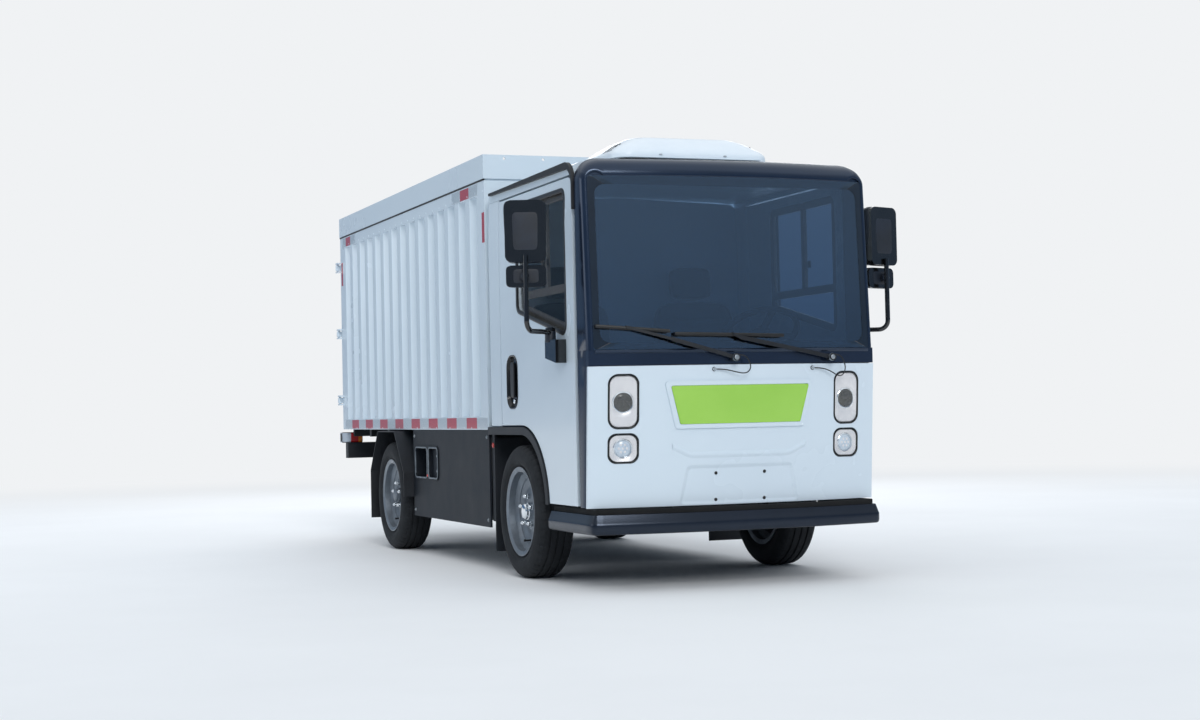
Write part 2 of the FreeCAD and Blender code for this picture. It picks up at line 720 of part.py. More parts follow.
def mirror():
    """Left mirror: bracket and socket on the door, tube arm, main head and wide-angle head."""
    arm_x, arm_y = 884, y(236)
    bracket = side_prism([(290, 985), (430, 1010), (430, 1088), (290, 1088)], body_half, 736)
    socket = rod((722, y(392), 1080), (722, y(392), 1142), 22)
    arm_route = [(722, y(392), 1122), (790, y(300), 1122), (arm_x, arm_y, 1122), (arm_x, arm_y, 1450)]
    arm = swept(arm_route, 11, 42)
    main = rounded(Part.makeBox(178, 60, 270, V(-89, -30, -135)), "y", 30)
    main.rotate(V(0, 0, 0), V(0, 0, 1), 20)
    main.translate(V(870, y(272), 1555))
    wide = rounded(Part.makeBox(172, 38, 94, V(-86, -19, -47)), "y", 24)
    wide.rotate(V(0, 0, 0), V(0, 0, 1), 20)
    wide.translate(V(866, y(284), 1362))
    ball = rod((arm_x, arm_y, 1362), (868, y(284), 1362), 12)
    return joined([bracket, socket, arm, main, wide, ball])


add_pair("door", cab_door())
add_pair("door_glass", door_glass())
add_pair("mirror", mirror())


# ---------------------------------------------------------------- lower sides

skirt_x = (674, 684)
port_s, port_z = (2362, 2805), (430, 590)


def wheel_arch_trims():
    """Black moulding over each front wheel, with the splash panel and flap behind it."""
    top = arch_top
    rear = box_front_s - 4
    moulding = side_shape((558, panel_low), [((668, 600), (905, top)), (rear, top), (rear, top - 37),
                                             (905, top - 37), ((697, 575), (594, panel_low))], 636, 692)
    splash = block((660, 672), (1393, rear), (242, top - 30))
    flap = block((470, 672), (1393, 1401), (96, 650))
    return both_sides(joined([moulding, splash, flap]))


def side_skirts():
    """Flat steel side panel on each side, with a framed service port and two struts inwards."""
    low, high = port_s
    opening = rounded(block((600, 720), port_s, port_z), "x", 30)
    frame = rounded(block((skirt_x[0], skirt_x[1] + 6), (low - 12, high + 12), (418, 602)), "x", 36)
    skirt = block(skirt_x, (1445, 2862), (210, box_low))
    pocket = block((622, skirt_x[0]), (low - 8, high + 8), (422, 598)).cut(block((626, 700), port_s, port_z))
    divider = block((624, skirt_x[1]), (2548, 2564), (428, 592))
    struts = [block((560, skirt_x[0] + 1), (s, s + 8), (250, 390)) for s in (1750, 2300)]
    return both_sides(joined([joined([skirt, frame]).cut(opening), pocket, divider, *struts]))


def rear_fenders():
    """Folded strip over each rear wheel, with the flap hanging behind it."""
    axle = front_axle_s + wheelbase
    outer = [(axle - 376, 315), (axle - 376, 450), (axle - 175, 684), (axle + 205, 684), (axle + 392, 450),
             (axle + 392, 165)]
    inner = [(axle + 386, 165), (axle + 386, 448), (axle + 202, 678), (axle - 172, 678), (axle - 370, 448),
             (axle - 370, 315)]
    strip = side_prism(outer + inner, 520, 742)
    hanger = block((520, 560), (axle - 60, axle + 60), (678, 706))
    return both_sides(joined([strip, hanger]))


add("wheel_arch_trims", wheel_arch_trims())
add("side_skirts", side_skirts())
add("rear_fenders", rear_fenders())


# ---------------------------------------------------------------- cargo box

side_wall_rear_s = box_rear_s - 70
portal_post = 66             # width of the rear portal's upright on each side
hinge_heights = (880, 1310, 1740)
lug_reach, strap_half = 32, 17
door_face_s = box_rear_s - 4
door_back_s = door_face_s - 40


def rib_outline():
    """Plan outline of the left side wall: flat inside, trapezoid grooves outside."""
    out, deep = body_half, body_half - rib_depth
    points = [(out - wall_thick, y(box_front_s)), (out, y(box_front_s))]
    for index in range(rib_count):
        start = first_rib_s + index * rib_pitch
        points += [(out, y(start)), (deep, y(start + rib_slope)), (deep, y(start + rib_slope + rib_floor)),
                   (out, y(start + 2 * rib_slope + rib_floor))]
    points += [(out, y(side_wall_rear_s)), (out - wall_thick, y(side_wall_rear_s))]
    return points


def cargo_side():
    """Left wall: pressed ribs between a top and a bottom rail."""
    ribs = prism(rib_outline(), "z", box_low, box_top)
    x_range, stations = (body_half - wall_thick, body_half), (box_front_s, side_wall_rear_s)
    rails = [block(x_range, stations, (box_low, box_low + rail_height)),
             block(x_range, stations, (box_top - rail_height, box_top))]
    return joined([ribs, *rails])


def cargo_floor():
    """Floor plate on cross-bearers and two long members that sit on the chassis rails."""
    inner = body_half - wall_thick
    pieces = [block((-inner, inner), (box_front_s + wall_thick, side_wall_rear_s), (706, 730))]
    for s in (1490, 1960, 2450, 2900, 3560, 4010, 4450):
        pieces.append(block((-inner + 4, inner - 4), (s, s + 40), (646, 706)))
    for side in (1, -1):
        x_range = sorted((side * 236, side * 276))
        pieces.append(block(x_range, (1490, 4490), (rail_top, 648)))
    return joined(pieces)


def cargo_front_wall():
    """Flat front wall between the side walls."""
    inner = body_half - wall_thick
    return block((-inner, inner), (box_front_s, box_front_s + wall_thick), (box_low, box_top))


def cargo_roof():
    """Roof plate with an upstanding edge all round; the front edge has four lifting holes."""
    half, edge = body_half + 4, 8
    front, rear = box_front_s - 4, box_rear_s + 4
    plate = block((-half + 12, half - 12), (front + 12, rear - 12), (box_top, box_top + 26))
    edges = block((-half, half), (front, rear), (box_top + 9, height))
    edges = edges.cut(block((-half + edge, half - edge), (front + edge, rear - edge), (box_top, height + 1)))
    link = block((-half + edge, half - edge), (front + edge, rear - edge), (box_top + 9, box_top + 26))
    roof = joined([plate, edges, link])
    for x in (-578, -372, 372, 578):
        roof = roof.cut(rod((x, y(front - 5), height - 18), (x, y(front + 20), height - 18), 7))
    return roof


def cargo_rear_frame():
    """Portal round the rear doors, with stops inside it and hinge lugs and pins outside."""
    half, doorway = body_half, body_half - portal_post
    through, between_rails = (4480, 4600), (box_low + rail_height, box_top - rail_height)
    portal = block((-half, half), (side_wall_rear_s, box_rear_s), (box_low, box_top))
    portal = portal.cut(block((-doorway, doorway), through, between_rails))
    stop = block((-doorway, doorway), (side_wall_rear_s, side_wall_rear_s + 14), between_rails)
    stop = stop.cut(block((-doorway + 30, doorway - 30), through, (box_low + 90, box_top - 90)))
    pieces = [portal, stop]
    for side in (1, -1):
        for z in hinge_heights:
            for low in (z - lug_reach, z + lug_reach - 9):
                lug = sorted((side * half, side * (pin_x + 12)))
                pieces.append(block(lug, (box_rear_s - 30, pin_s + 12), (low, low + 9)))
            pin = (side * pin_x, y(pin_s))
            pieces.append(rod((*pin, z - lug_reach), (*pin, z + lug_reach), pin_radius))
    return joined(pieces)




def rear_door():
    """Left leaf: slab with hinge straps, two lock rods and their handles."""
    low, high = box_low + rail_height + door_gap, box_top - rail_height - door_gap
    outer_x = body_half - portal_post - door_gap
    pieces = [block((5, outer_x), (door_back_s, door_face_s), (low, high))]
    for z in hinge_heights:
        tall = (z - strap_half, z + strap_half)
        pieces.append(block((520, 600), (door_face_s, door_face_s + 12), tall))
        pieces.append(block((520, pin_x), (door_face_s + 11, door_face_s + 19), tall))
        pieces.append(rod((pin_x, y(pin_s), tall[0]), (pin_x, y(pin_s), tall[1]), 14))
    for x in (150, 430):
        pieces.append(rod((x, y(door_face_s + 20), low + 10), (x, y(door_face_s + 20), high - 10), 11))
        for z in (low + 60, 1000, 1500, high - 60):
            pieces.append(block((x - 24, x + 24), (door_face_s, door_face_s + 24), (z - 18, z + 18)))
        pieces.append(block((x, x + 190), (door_face_s + 12, door_face_s + 24), (1206, 1234)))
        pieces.append(block((x + 160, x + 184), (door_face_s, door_face_s + 14), (1200, 1240)))
    door = joined(pieces)
    for z in hinge_heights:
        door = door.cut(rod((pin_x, y(pin_s), z - 30), (pin_x, y(pin_s), z + 30), pin_radius + 0.3))
    return door


def rear_bumper():
    """Folded under-run beam across the tail, open at the back."""
    beam = block((-676, 676), (4490, 4556), (507, 607))
    hollow = block((-670, 670), (4500, 4560), (513, 601))
    return beam.cut(hollow)


def tail_lamps():
    """Lamp box standing on each end of the beam."""
    return both_sides(rounded(block((578, 712), (4502, 4556), (607, 672)), "x", 10))


add("cargo_floor", cargo_floor())
add("cargo_front_wall", cargo_front_wall())
add_pair("cargo_side", cargo_side())
add("cargo_roof", cargo_roof())
add("cargo_rear_frame", cargo_rear_frame())
add_pair("rear_door", rear_door())
add("rear_bumper", rear_bumper())
add("tail_lamps", tail_lamps())

for name, shape in parts.items():
    if not shape.isValid() or shape.Volume <= 0 or not shape.Solids:
        print("check", name, shape.isValid(), shape.Volume, len(shape.Solids))
    shape.exportStep("parts/" + name + ".step")
whole = Part.makeCompound(list(parts.values())).BoundBox
print(len(parts), "nodes, box", [round(v, 1) for v in (whole.XMin, whole.XMax, whole.YMin, whole.YMax,
                                                      whole.ZMin, whole.ZMax)])
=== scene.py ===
import math

import bmesh
import bpy
import numpy as np
from mathutils import Matrix


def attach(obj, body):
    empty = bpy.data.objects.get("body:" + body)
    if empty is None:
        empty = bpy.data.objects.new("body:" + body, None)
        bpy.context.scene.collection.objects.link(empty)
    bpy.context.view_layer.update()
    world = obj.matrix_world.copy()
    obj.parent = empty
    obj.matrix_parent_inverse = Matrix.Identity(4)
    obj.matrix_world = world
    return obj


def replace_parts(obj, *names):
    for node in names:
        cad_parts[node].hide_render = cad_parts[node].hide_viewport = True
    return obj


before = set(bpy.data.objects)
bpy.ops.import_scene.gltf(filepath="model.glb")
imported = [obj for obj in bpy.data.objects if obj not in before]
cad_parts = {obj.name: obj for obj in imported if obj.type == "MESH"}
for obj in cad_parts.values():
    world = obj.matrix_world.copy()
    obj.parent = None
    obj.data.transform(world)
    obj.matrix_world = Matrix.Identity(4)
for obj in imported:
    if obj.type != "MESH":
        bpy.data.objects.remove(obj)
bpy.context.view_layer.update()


# ---- Camera ----
# It stands low, ahead of the truck's right-hand front corner, behind a short telephoto lens,
# so that the bowed front and the whole ribbed right side show. Yaw and pitch are its aim.
yaw, pitch, roll = 0.3647, 0.0278, -0.0221
camera_at = -3.4825, -9.7012, 0.7654
ahead = np.array([math.sin(yaw) * math.cos(pitch), math.cos(yaw) * math.cos(pitch), math.sin(pitch)])
level = np.array([math.cos(yaw), -math.sin(yaw), 0.0])
upright = np.cross(level, ahead)
across = level * math.cos(roll) + upright * math.sin(roll)
top = upright * math.cos(roll) - level * math.sin(roll)
camera = bpy.data.objects.new("camera", bpy.data.cameras.new("camera"))
bpy.context.scene.collection.objects.link(camera)
camera.data.sensor_width, camera.data.lens = 36.0, 56.5
camera.data.clip_start, camera.data.clip_end = 0.1, 200.0
axes = np.stack([across, top, -ahead], 1).tolist()
camera.matrix_world = Matrix([[*row, shift] for row, shift in zip(axes, camera_at)] + [[0, 0, 0, 1]])
bpy.context.scene.camera = camera


# ---- Washer hoses ----
# Two free EPDM tubes, 5 mm across, that carry screen wash from the grommets in the front panel
# up to the hollow spindle caps of the wipers. They hang in the loose loops that the tube's own
# stiffness gives them. EPDM is a soft black rubber with a dull, slightly greasy shine.
def linear(code):
    """sRGB hex code as linear red, green, blue and alpha."""
    part = np.array([int(code[i:i + 2], 16) for i in (1, 3, 5)]) / 255
    return (*np.where(part <= 0.04045, part / 12.92, ((part + 0.055) / 1.055) ** 2.4).tolist(), 1.0)


def add_node(tree, kind, values=None, links=None, **settings):
    """Adds a shader node, sets its properties and sockets, and links other outputs to it."""
    node = tree.nodes.new("ShaderNode" + kind)
    for name, value in settings.items():
        setattr(node, name, value)
    for name, value in (values or {}).items():
        node.inputs[name].default_value = value
    for name, output in (links or {}).items():
        tree.links.new(output, node.inputs[name])
    return node


def blank(name):
    """An empty node material, its tree, and the socket that gives the place on the object."""
    material = bpy.data.materials.new(name)
    material.use_nodes = True
    tree = material.node_tree
    tree.nodes.clear()
    return (material, tree, add_node(tree, "TexCoord").outputs["Object"])


def ramp(tree, source, *stops, blend="LINEAR"):
    """Colour ramp over a socket, from two or more stops of (position, hex colour)."""
    node = add_node(tree, "ValToRGB", links={"Fac": source})
    elements = node.color_ramp.elements
    elements[0].position, elements[1].position = stops[0][0], stops[-1][0]
    elements[0].color, elements[1].color = linear(stops[0][1]), linear(stops[-1][1])
    for position, colour in stops[1:-1]:
        elements.new(position).color = linear(colour)
    node.color_ramp.interpolation = blend
    return node.outputs["Color"]


def finished(tree, values, height, distance, strength=1.0, **links):
    """Adds the surface shader, with a bump over a height socket, and the material's output."""
    if height:
        bump = add_node(tree, "Bump", {"Distance": distance, "Strength": strength}, {"Height": height})
        links["Normal"] = bump.outputs["Normal"]
    shader = add_node(tree, "BsdfPrincipled", values, {name.replace("_", " "): link for name,
        link in links.items()})
    add_node(tree, "OutputMaterial", links={"Surface": shader.outputs["BSDF"]})


def coated(name, colour, second, roughness, grain, relief, patch=0.6, film=None, **shader_values):
    """A finish that drifts between two colours in patches, with a fine texture of its own.

    grain is the width of the texture and relief its height, in millimetres, and patch the width
    of the drift, in metres. film is a dusty colour that settles low down and fades out upwards.
    """
    material, tree, place = blank(name)
    drift = add_node(tree, "TexNoise", {"Scale": 1 / patch, "Detail": 5.0, "Roughness": 0.6},
        {"Vector": place}).outputs["Fac"]
    fine = add_node(tree, "TexNoise", {"Scale": 1000 / grain, "Detail": 3.0},
        {"Vector": place}).outputs["Fac"]
    colour_out = ramp(tree, drift, (0.38, colour), (0.66, second))
    gloss_out = add_node(tree, "MapRange", {"To Min": roughness * 0.8, "To Max": min(1.0, roughness
        * 1.25)}, {"Value": drift}).outputs["Result"]
    if film:
        height = add_node(tree, "SeparateXYZ", links={"Vector": place}).outputs["Z"]
        low = add_node(tree, "MapRange", {"From Min": 0.95, "From Max": 0.05, "To Max": 0.4},
            {"Value": height})
        settled = add_node(tree, "Math", links={0: low.outputs["Result"], 1: drift},
            operation="MULTIPLY").outputs[0]
        colour_out = add_node(tree, "MixRGB", {"Color2": linear(film)},
            {"Fac": settled, "Color1": colour_out}).outputs["Color"]
        gloss_out = add_node(tree, "Math", links={0: gloss_out, 1: settled}, operation="ADD",
            use_clamp=True).outputs[0]
    finished(tree, shader_values, fine, relief / 1000, Base_Color=colour_out, Roughness=gloss_out)
    return material


hose_rubber = coated("extruded_epdm_rubber", "#0B0C0E", "#121316", 0.42, 3, 0.05, patch=0.05)
hose_routes = {"washer_hose_right": ((-0.036, -2.3425, 1.001), (-0.012, -2.3447, 1.0),
    (0.008, -2.3427, 0.986), (0.022, -2.3406, 0.964), (0.026, -2.3352, 0.942), (0.014, -2.3299, 0.924),
    (-0.008, -2.3257, 0.921), (-0.036, -2.3219, 0.927), (-0.066, -2.3161, 0.935), (-0.096, -2.3097, 0.94),
    (-0.126, -2.3038, 0.941)), "washer_hose_left": ((0.444, -2.312, 1.0), (0.468, -2.3106, 0.998),
    (0.488, -2.3057, 0.984), (0.501, -2.3017, 0.962), (0.507, -2.297, 0.938), (0.502, -2.292, 0.915),
    (0.485, -2.2917, 0.903), (0.464, -2.2932, 0.908), (0.442, -2.2934, 0.922), (0.416, -2.2918, 0.934),
    (0.387, -2.2889, 0.94), (0.356, -2.2866, 0.942))}
for name, length in (("washer_hose_right", 0.255), ("washer_hose_left", 0.27)):
    curve = bpy.data.curves.new(name + "_tube", "CURVE")
    curve.dimensions, curve.bevel_depth, curve.bevel_resolution = "3D", 0.0025, 6
    curve.resolution_u, curve.use_fill_caps = 12, True
    line = curve.splines.new("NURBS")
    line.points.add(len(hose_routes[name]) - 1)
    line.points.foreach_set("co", np.array([(*point, 1.0) for point in hose_routes[name]]).ravel())
    line.order_u, line.use_endpoint_u = 3, True
    hose = bpy.data.objects.new(name + "_tube", curve)
    bpy.context.scene.collection.objects.link(hose)
    curve.materials.append(hose_rubber)
    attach(hose, "chassis")
    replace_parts(hose, name)


# ---- Floor and light ----
# A plain pale floor under an even white sky that darkens towards its foot, as outdoors on a bright
# dull day. One broad sun stands ahead on the truck's right, and soft panels fill from above and
# behind. Colours are shown as they are, with no film curve. The floor fades into the backdrop
# between 5 and 15 m from the truck, so that no horizon shows.
bpy.context.scene.view_settings.view_transform = "Standard"
world = bpy.data.worlds.new("hall")
bpy.context.scene.world = world
world.use_nodes = True
sky = world.node_tree
sky.nodes.clear()
way_up = add_node(sky, "SeparateXYZ", links={"Vector": add_node(sky, "TexCoord").outputs["Generated"]})
tint = ramp(sky, way_up.outputs["Z"], (0.0, "#5A82B0"), (0.16, "#A6C0DC"), (0.5, "#E3ECF5"))
seen = add_node(sky, "LightPath").outputs["Is Camera Ray"]
light = add_node(sky, "Background", {"Strength": 0.6}, {"Color": tint})
backdrop_tone = "#F0F2F4"
backdrop = add_node(sky, "Background", {"Color": linear(backdrop_tone), "Strength": 1.0})
shown = add_node(sky, "MixShader", links={0: seen, 1: light.outputs["Background"],
    2: backdrop.outputs["Background"]})
add_node(sky, "OutputWorld", links={"Surface": shown.outputs["Shader"]})
floor = bpy.data.meshes.new("floor")
floor.from_pydata([(-90, -90, 0), (90, -90, 0), (90, 90, 0), (-90, 90, 0)], [], [(0, 1, 2, 3)])
screed = coated("pale_screed", "#F3F4F5", "#EEEFF0", 0.9, 10, 0.2, patch=3.0)
tree = screed.node_tree
surface_in = next(node for node in tree.nodes if node.type == "OUTPUT_MATERIAL").inputs["Surface"]
lit = surface_in.links[0].from_socket
reach = add_node(tree, "VectorMath", links={0: add_node(tree, "TexCoord").outputs["Object"]},
    operation="LENGTH")
fade = add_node(tree, "MapRange", {"From Min": 5.0, "From Max": 15.0}, {"Value": reach.outputs["Value"]},
    interpolation_type="SMOOTHSTEP")
glow = add_node(tree, "Emission", {"Color": linear(backdrop_tone), "Strength": 1.0})
faded = add_node(tree, "MixShader", links={0: fade.outputs["Result"], 1: lit, 2: glow.outputs[0]})
tree.links.new(faded.outputs[0], surface_in)
floor.materials.append(screed)
floor = bpy.data.objects.new("floor", floor)
bpy.context.scene.collection.objects.link(floor)
for name, place, aim, size, power in (
    ("sun", (-1.6, -9.0, 6.0), (0, 0, 0.8), math.radians(24), 1.2),
    ("sky_panel", (0.0, 0.0, 14.0), (0, 0, 0), (30.0, 30.0), 1300),
    ("side_panel", (-9.0, 2.0, 3.0), (0, 0.8, 1.0), (6.0, 2.5), 60),
    ("back_panel", (3.5, 8.5, 4.5), (0, 1.0, 1.2), (6.0, 3.0), 150),
):
    lamp = bpy.data.lights.new(name, "SUN" if name == "sun" else "AREA")
    lamp.energy = power
    if name == "sun":
        lamp.angle = size
    else:
        lamp.shape, lamp.size, lamp.size_y = "RECTANGLE", *size
    light = bpy.data.objects.new(name, lamp)
    bpy.context.scene.collection.objects.link(light)
    way = np.array(aim, float) - np.array(place)
    light.location = place
    light.rotation_euler = math.atan2(math.hypot(way[0], way[1]), -way[2]), 0.0, math.atan2(-way[0], way[1])


# ---- Chassis, axles and battery ----
# Pressed steel rails, welded cross-members, forged axles and a sheet-steel battery case. All are
# dipped or sprayed black and then collect a thin film of road dust, which dulls them low down.
def dress(material, *names):
    """Gives CAD nodes their material."""
    for name in names:
        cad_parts[name].data.materials.clear()
        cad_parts[name].data.materials.append(material)


dress(coated("black_chassis_enamel", "#0D1116", "#161B21", 0.5, 6, 0.2, film="#373A3D"), "chassis_frame",
    "front_axle", "rear_axle", "leaf_springs", "cab_floor", "cargo_floor")
dress(coated("powder_coated_battery_case", "#14181D", "#1B2026", 0.62, 1.5, 0.08, film="#393C3F"),
    "battery_pack")
dress(coated("cast_aluminium_motor_case", "#8D9195", "#767B80", 0.5, 2, 0.15, film="#5A554E", Metallic=1.0),
    "drive_motor")
dress(coated("rough_cast_iron", "#2E2C2B", "#3F3833", 0.72, 2.5, 0.3, film="#4C4640", Metallic=0.6),
    "knuckle_left", "knuckle_right")


# ---- Wheels ----
# Pressed steel rims in silver enamel, held by five long nuts round a hub with a domed cap. The
# front ones are dressed with polished acorn nuts. Chrome mirrors its surroundings and stays dark
# where they are dark, while the enamel is a soft grey with metal flake in it.
def surface(name, grid, material, slot, body="chassis", loop_u=False, loop_v=True, crease=32):
    """Mesh from one or more grids of points, (..., rows, columns, 3): each cell is a quad.

    loop_u joins the last row to the first and loop_v the last column to the first. A row or
    column whose points are all the same closes as a pole.
    """
    grid = np.asarray(grid, float)
    rows, columns = grid.shape[-3:-1]
    points = grid.reshape(-1, 3)
    a, b = np.meshgrid(np.arange(rows if loop_u else rows - 1), np.arange(columns if loop_v else columns
        - 1), indexing="ij")
    c, d = (a + 1) % rows, (b + 1) % columns
    cell = np.stack([a * columns + b, c * columns + b, c * columns + d, a * columns + d], -1).reshape(-1, 4)
    copies = len(points) // (rows * columns)
    quads = (np.arange(copies)[:, None, None] * rows * columns + cell).reshape(-1, 4)
    mesh = bpy.data.meshes.new(name)
    mesh.from_pydata(points.tolist(), [], quads.tolist())
    work = bmesh.new()
    work.from_mesh(mesh)
    bmesh.ops.remove_doubles(work, verts=work.verts, dist=0.000001)
    bmesh.ops.recalc_face_normals(work, faces=work.faces)
    work.to_mesh(mesh)
    work.free()
    mesh.shade_smooth()
    mesh.set_sharp_from_angle(angle=math.radians(crease))
    mesh.materials.append(material)
    piece = bpy.data.objects.new(name, mesh)
    bpy.context.scene.collection.objects.link(piece)
    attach(piece, body)
    return piece


def station(mm):
    """Y in metres of a place given in millimetres behind the foot of the front panel."""
    return np.asarray(mm) / 1000 - 2.256


def at(x, s, z):
    """A point from x, station and height in millimetres."""
    return np.array([x / 1000, station(s), z / 1000])


def lathe(profile, steps, centre=(0, 0, 0)):
    """Turns a profile of (x, radius) in mm about a line along X: (x, r cos t, r sin t), t the turn."""
    profile = np.asarray(profile) / 1000
    turn = np.linspace(0, 2 * np.pi, steps, endpoint=False)
    x, r = profile[:, :1], profile[:, 1:]
    return np.stack([np.broadcast_to(x, (len(profile), steps)), r * np.cos(turn), r * np.sin(turn)],
        -1) + centre


def facing(profile, steps):
    """A lathed piece whose axis points ahead."""
    return lathe(profile, steps)[..., [1, 0, 2]] * (1, -1, 1)


def spread(shape, spots):
    """Copies of a shape at each of the spots."""
    return shape + np.asarray(spots)[:, None, None]


def paired(name, grid, body, material, slot, **how):
    """A piece on each side's own body, given for the left one and mirrored for the right."""
    for side, sign in (("left", 1), ("right", -1)):
        surface(name + "_" + side, grid * (sign, 1, 1), body=body + "_" + side, material=material,
            slot=slot, **how)


wheel_enamel = coated("silver_flake_enamel", "#7F8993", "#6D7782", 0.36, 1.2, 0.03, patch=0.12,
    film="#6A645C", **{"Metallic": 0.75, "Coat Weight": 0.3})
chrome = coated("chrome_plate", "#E9EDF0", "#DDE2E6", 0.09, 20, 0.01, patch=0.05, Metallic=1.0)
zinc = coated("galvanised_steel", "#A8AEB3", "#8F969B", 0.42, 6, 0.06, patch=0.05, Metallic=1.0)
front_y, rear_y, axle_z = station(934), station(3246), 0.3105
wheels = (("front_left", 1, 0.62, front_y), ("front_right", -1, 0.62, front_y), ("rear_left", 1, 0.635,
    rear_y), ("rear_right", -1, 0.635, rear_y))
for place, side, middle_x, middle_y in wheels:
    dress(wheel_enamel, "rim_" + place)
    face = middle_x + 0.028
    angle = np.radians(90 + 72 * np.arange(5))
    spots = np.stack([np.zeros(5), 0.07 * np.cos(angle), 0.07 * np.sin(angle)], -1) + (0, middle_y, axle_z)
    # Acorn nut: six flats with radius a / cos(t mod 60 - 30), running into a round dome
    steps = 48
    turn = np.linspace(0, 2 * np.pi, steps, endpoint=False)
    flats = 0.0125 / np.cos(np.mod(turn, np.pi / 3) - np.pi / 6)
    rise = np.array([0.0, 0.0005, 0.017, 0.018, 0.0185, 0.028, 0.034, 0.0365, 0.037])
    wide = np.array([0.0, 1.0, 1.0, 0.97, 0.93, 0.8, 0.5, 0.22, 0.0])
    hexed = np.array([1.0, 1.0, 1.0, 0.5, 0.0, 0.0, 0.0, 0.0, 0.0])
    radius = wide[:, None] * (hexed[:, None] * flats + (1 - hexed[:, None]) * 0.0125)
    nut = np.stack([np.broadcast_to(face + rise[:, None], radius.shape), radius * np.cos(turn), radius
        * np.sin(turn)], -1)
    grid = spread(nut, spots)
    surface("wheel_nuts_" + place, grid * (side, 1, 1), chrome, "wheel_silver", body="wheel_" + place)
    # Hub cap dome and the valve stem in the disc
    dome = lathe([(0, 0), (0, 41), (6, 42.5), (18, 41), (21, 37), (30, 36.5), (36, 31), (38, 18),
        (38.5, 0)], 48, (face, middle_y, axle_z))
    surface("hub_cap_" + place, dome * (side, 1, 1), chrome if place[0] == "f" else wheel_enamel,
        "wheel_silver", body="wheel_" + place)
    stem = lathe([(0, 0), (0, 6), (12, 6), (14, 4.2), (34, 4.2), (35, 5.5), (44, 5.5), (45, 0)], 16,
        (face - 0.012, middle_y + 0.012, axle_z - 0.137))
    surface("valve_" + place, stem * (side, 1, 1), hose_rubber, "wheel_silver", body="wheel_" + place)


# ---- Tyres ----
# Radial van tyres, moulded in carbon-black rubber: matt, with patches of a slightly lighter
# dusty tone. Four ribs with three grooves run round the tread, and short sipes cut its
# shoulders. Thin raised rings run round the wall.
def softened(points, rounds=3):
    """Cuts every corner of an open line at a quarter and three quarters of each run, repeatedly."""
    line = np.asarray(points, float)
    for _ in range(rounds):
        cut = np.stack([line[:-1] * 0.75 + line[1:] * 0.25, line[:-1] * 0.25 + line[1:] * 0.75], 1)
        line = np.concatenate([line[:1], cut.reshape(-1, line.shape[1]), line[-1:]])
    return line


tyre_rubber, tree, place = blank("carbon_black_tyre_rubber")
dirt = add_node(tree, "TexNoise", {"Scale": 14.0, "Detail": 6.0}, {"Vector": place})
grain = add_node(tree, "TexNoise", {"Scale": 900.0, "Detail": 2.0}, {"Vector": place})
tone = ramp(tree, dirt.outputs["Fac"], (0.42, "#11151A"), (0.72, "#1E2226"))
finished(tree, {"Roughness": 0.78, "Specular IOR Level": 0.4}, grain.outputs["Fac"], 0.0002,
    Base_Color=tone)
wall = softened([(0.066, 0.1912), (0.0715, 0.212), (0.0865, 0.228), (0.0925, 0.252), (0.088, 0.278),
    (0.0765, 0.3), (0.061, 0.3078)])
ring = 0.0009 * sum((np.exp(-((wall[:, 1] - r) / 0.0018) ** 2) for r in (0.222, 0.236, 0.262, 0.284)))
wall = wall + np.stack([ring, np.zeros_like(ring)], 1)
tread_x = np.linspace(0.06, -0.06, 101)
tread = np.stack([tread_x, 0.3105 - 0.0027 * (tread_x / 0.061) ** 2], 1)
back = np.array([(-0.048, 0.1912), (-0.04, 0.204), (0.04, 0.204), (0.048, 0.1912)])
section = np.concatenate([wall, tread, (wall * (-1, 1))[::-1], back])
turn = np.linspace(0, 2 * np.pi, 240, endpoint=False)
x, r = section[:, :1], section[:, 1:] + 0 * turn
groove = sum((np.clip(1.6 * (1 - (np.abs(x - c) / 0.0052) ** 2), 0, 1) for c in (-0.034, 0.0, 0.034)))
sipe = (np.mod(turn * 48 / (2 * np.pi) + 0.25 * np.sign(x), 1) < 0.2) * np.clip((np.abs(x) - 0.047) / 0.006,
    0, 1)
r = r - (r > 0.296) * (0.007 * groove + 0.0035 * sipe)
wheel_ring = np.stack([x + 0 * turn, r * np.cos(turn), r * np.sin(turn)], -1)
for place, side, middle_x, middle_y in wheels:
    tyre = surface("tyre_tread_" + place, (wheel_ring + (middle_x, middle_y, axle_z)) * (side, 1, 1),
        tyre_rubber, "tyre_rubber", body="wheel_" + place, loop_u=True, crease=40)
    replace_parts(tyre, "tyre_" + place)


# ---- Front panel ----
# One large moulding in white two-pack enamel, which gives a hard, slightly blue-white gloss. A
# swage runs across it over the plate recess, four pan-head screws wait there, and rubber
# grommets line the holes of the washer hoses.
body_enamel = coated("white_two_pack_enamel", "#D2DFE8", "#CDDAE4", 0.26, 1.8, 0.02, patch=1.4,
    **{"Coat Weight": 0.35, "Coat Roughness": 0.08})
dress(body_enamel, "front_panel", "cab_back_wall", "cab_roof", "cab_quarter_left", "cab_quarter_right",
    "door_left", "door_right", "cargo_front_wall", "cargo_side_left", "cargo_side_right", "cargo_roof",
    "cargo_rear_frame", "rear_door_left", "rear_door_right")


# The front's bow in plan, its foot and turns in height, and its lean back for each metre up
bow_radius, foot_z, panel_top_z, glass_foot_z = 3.217, 0.356, 0.96, 1.03
panel_lean, glass_lean = -0.0773, 0.0547


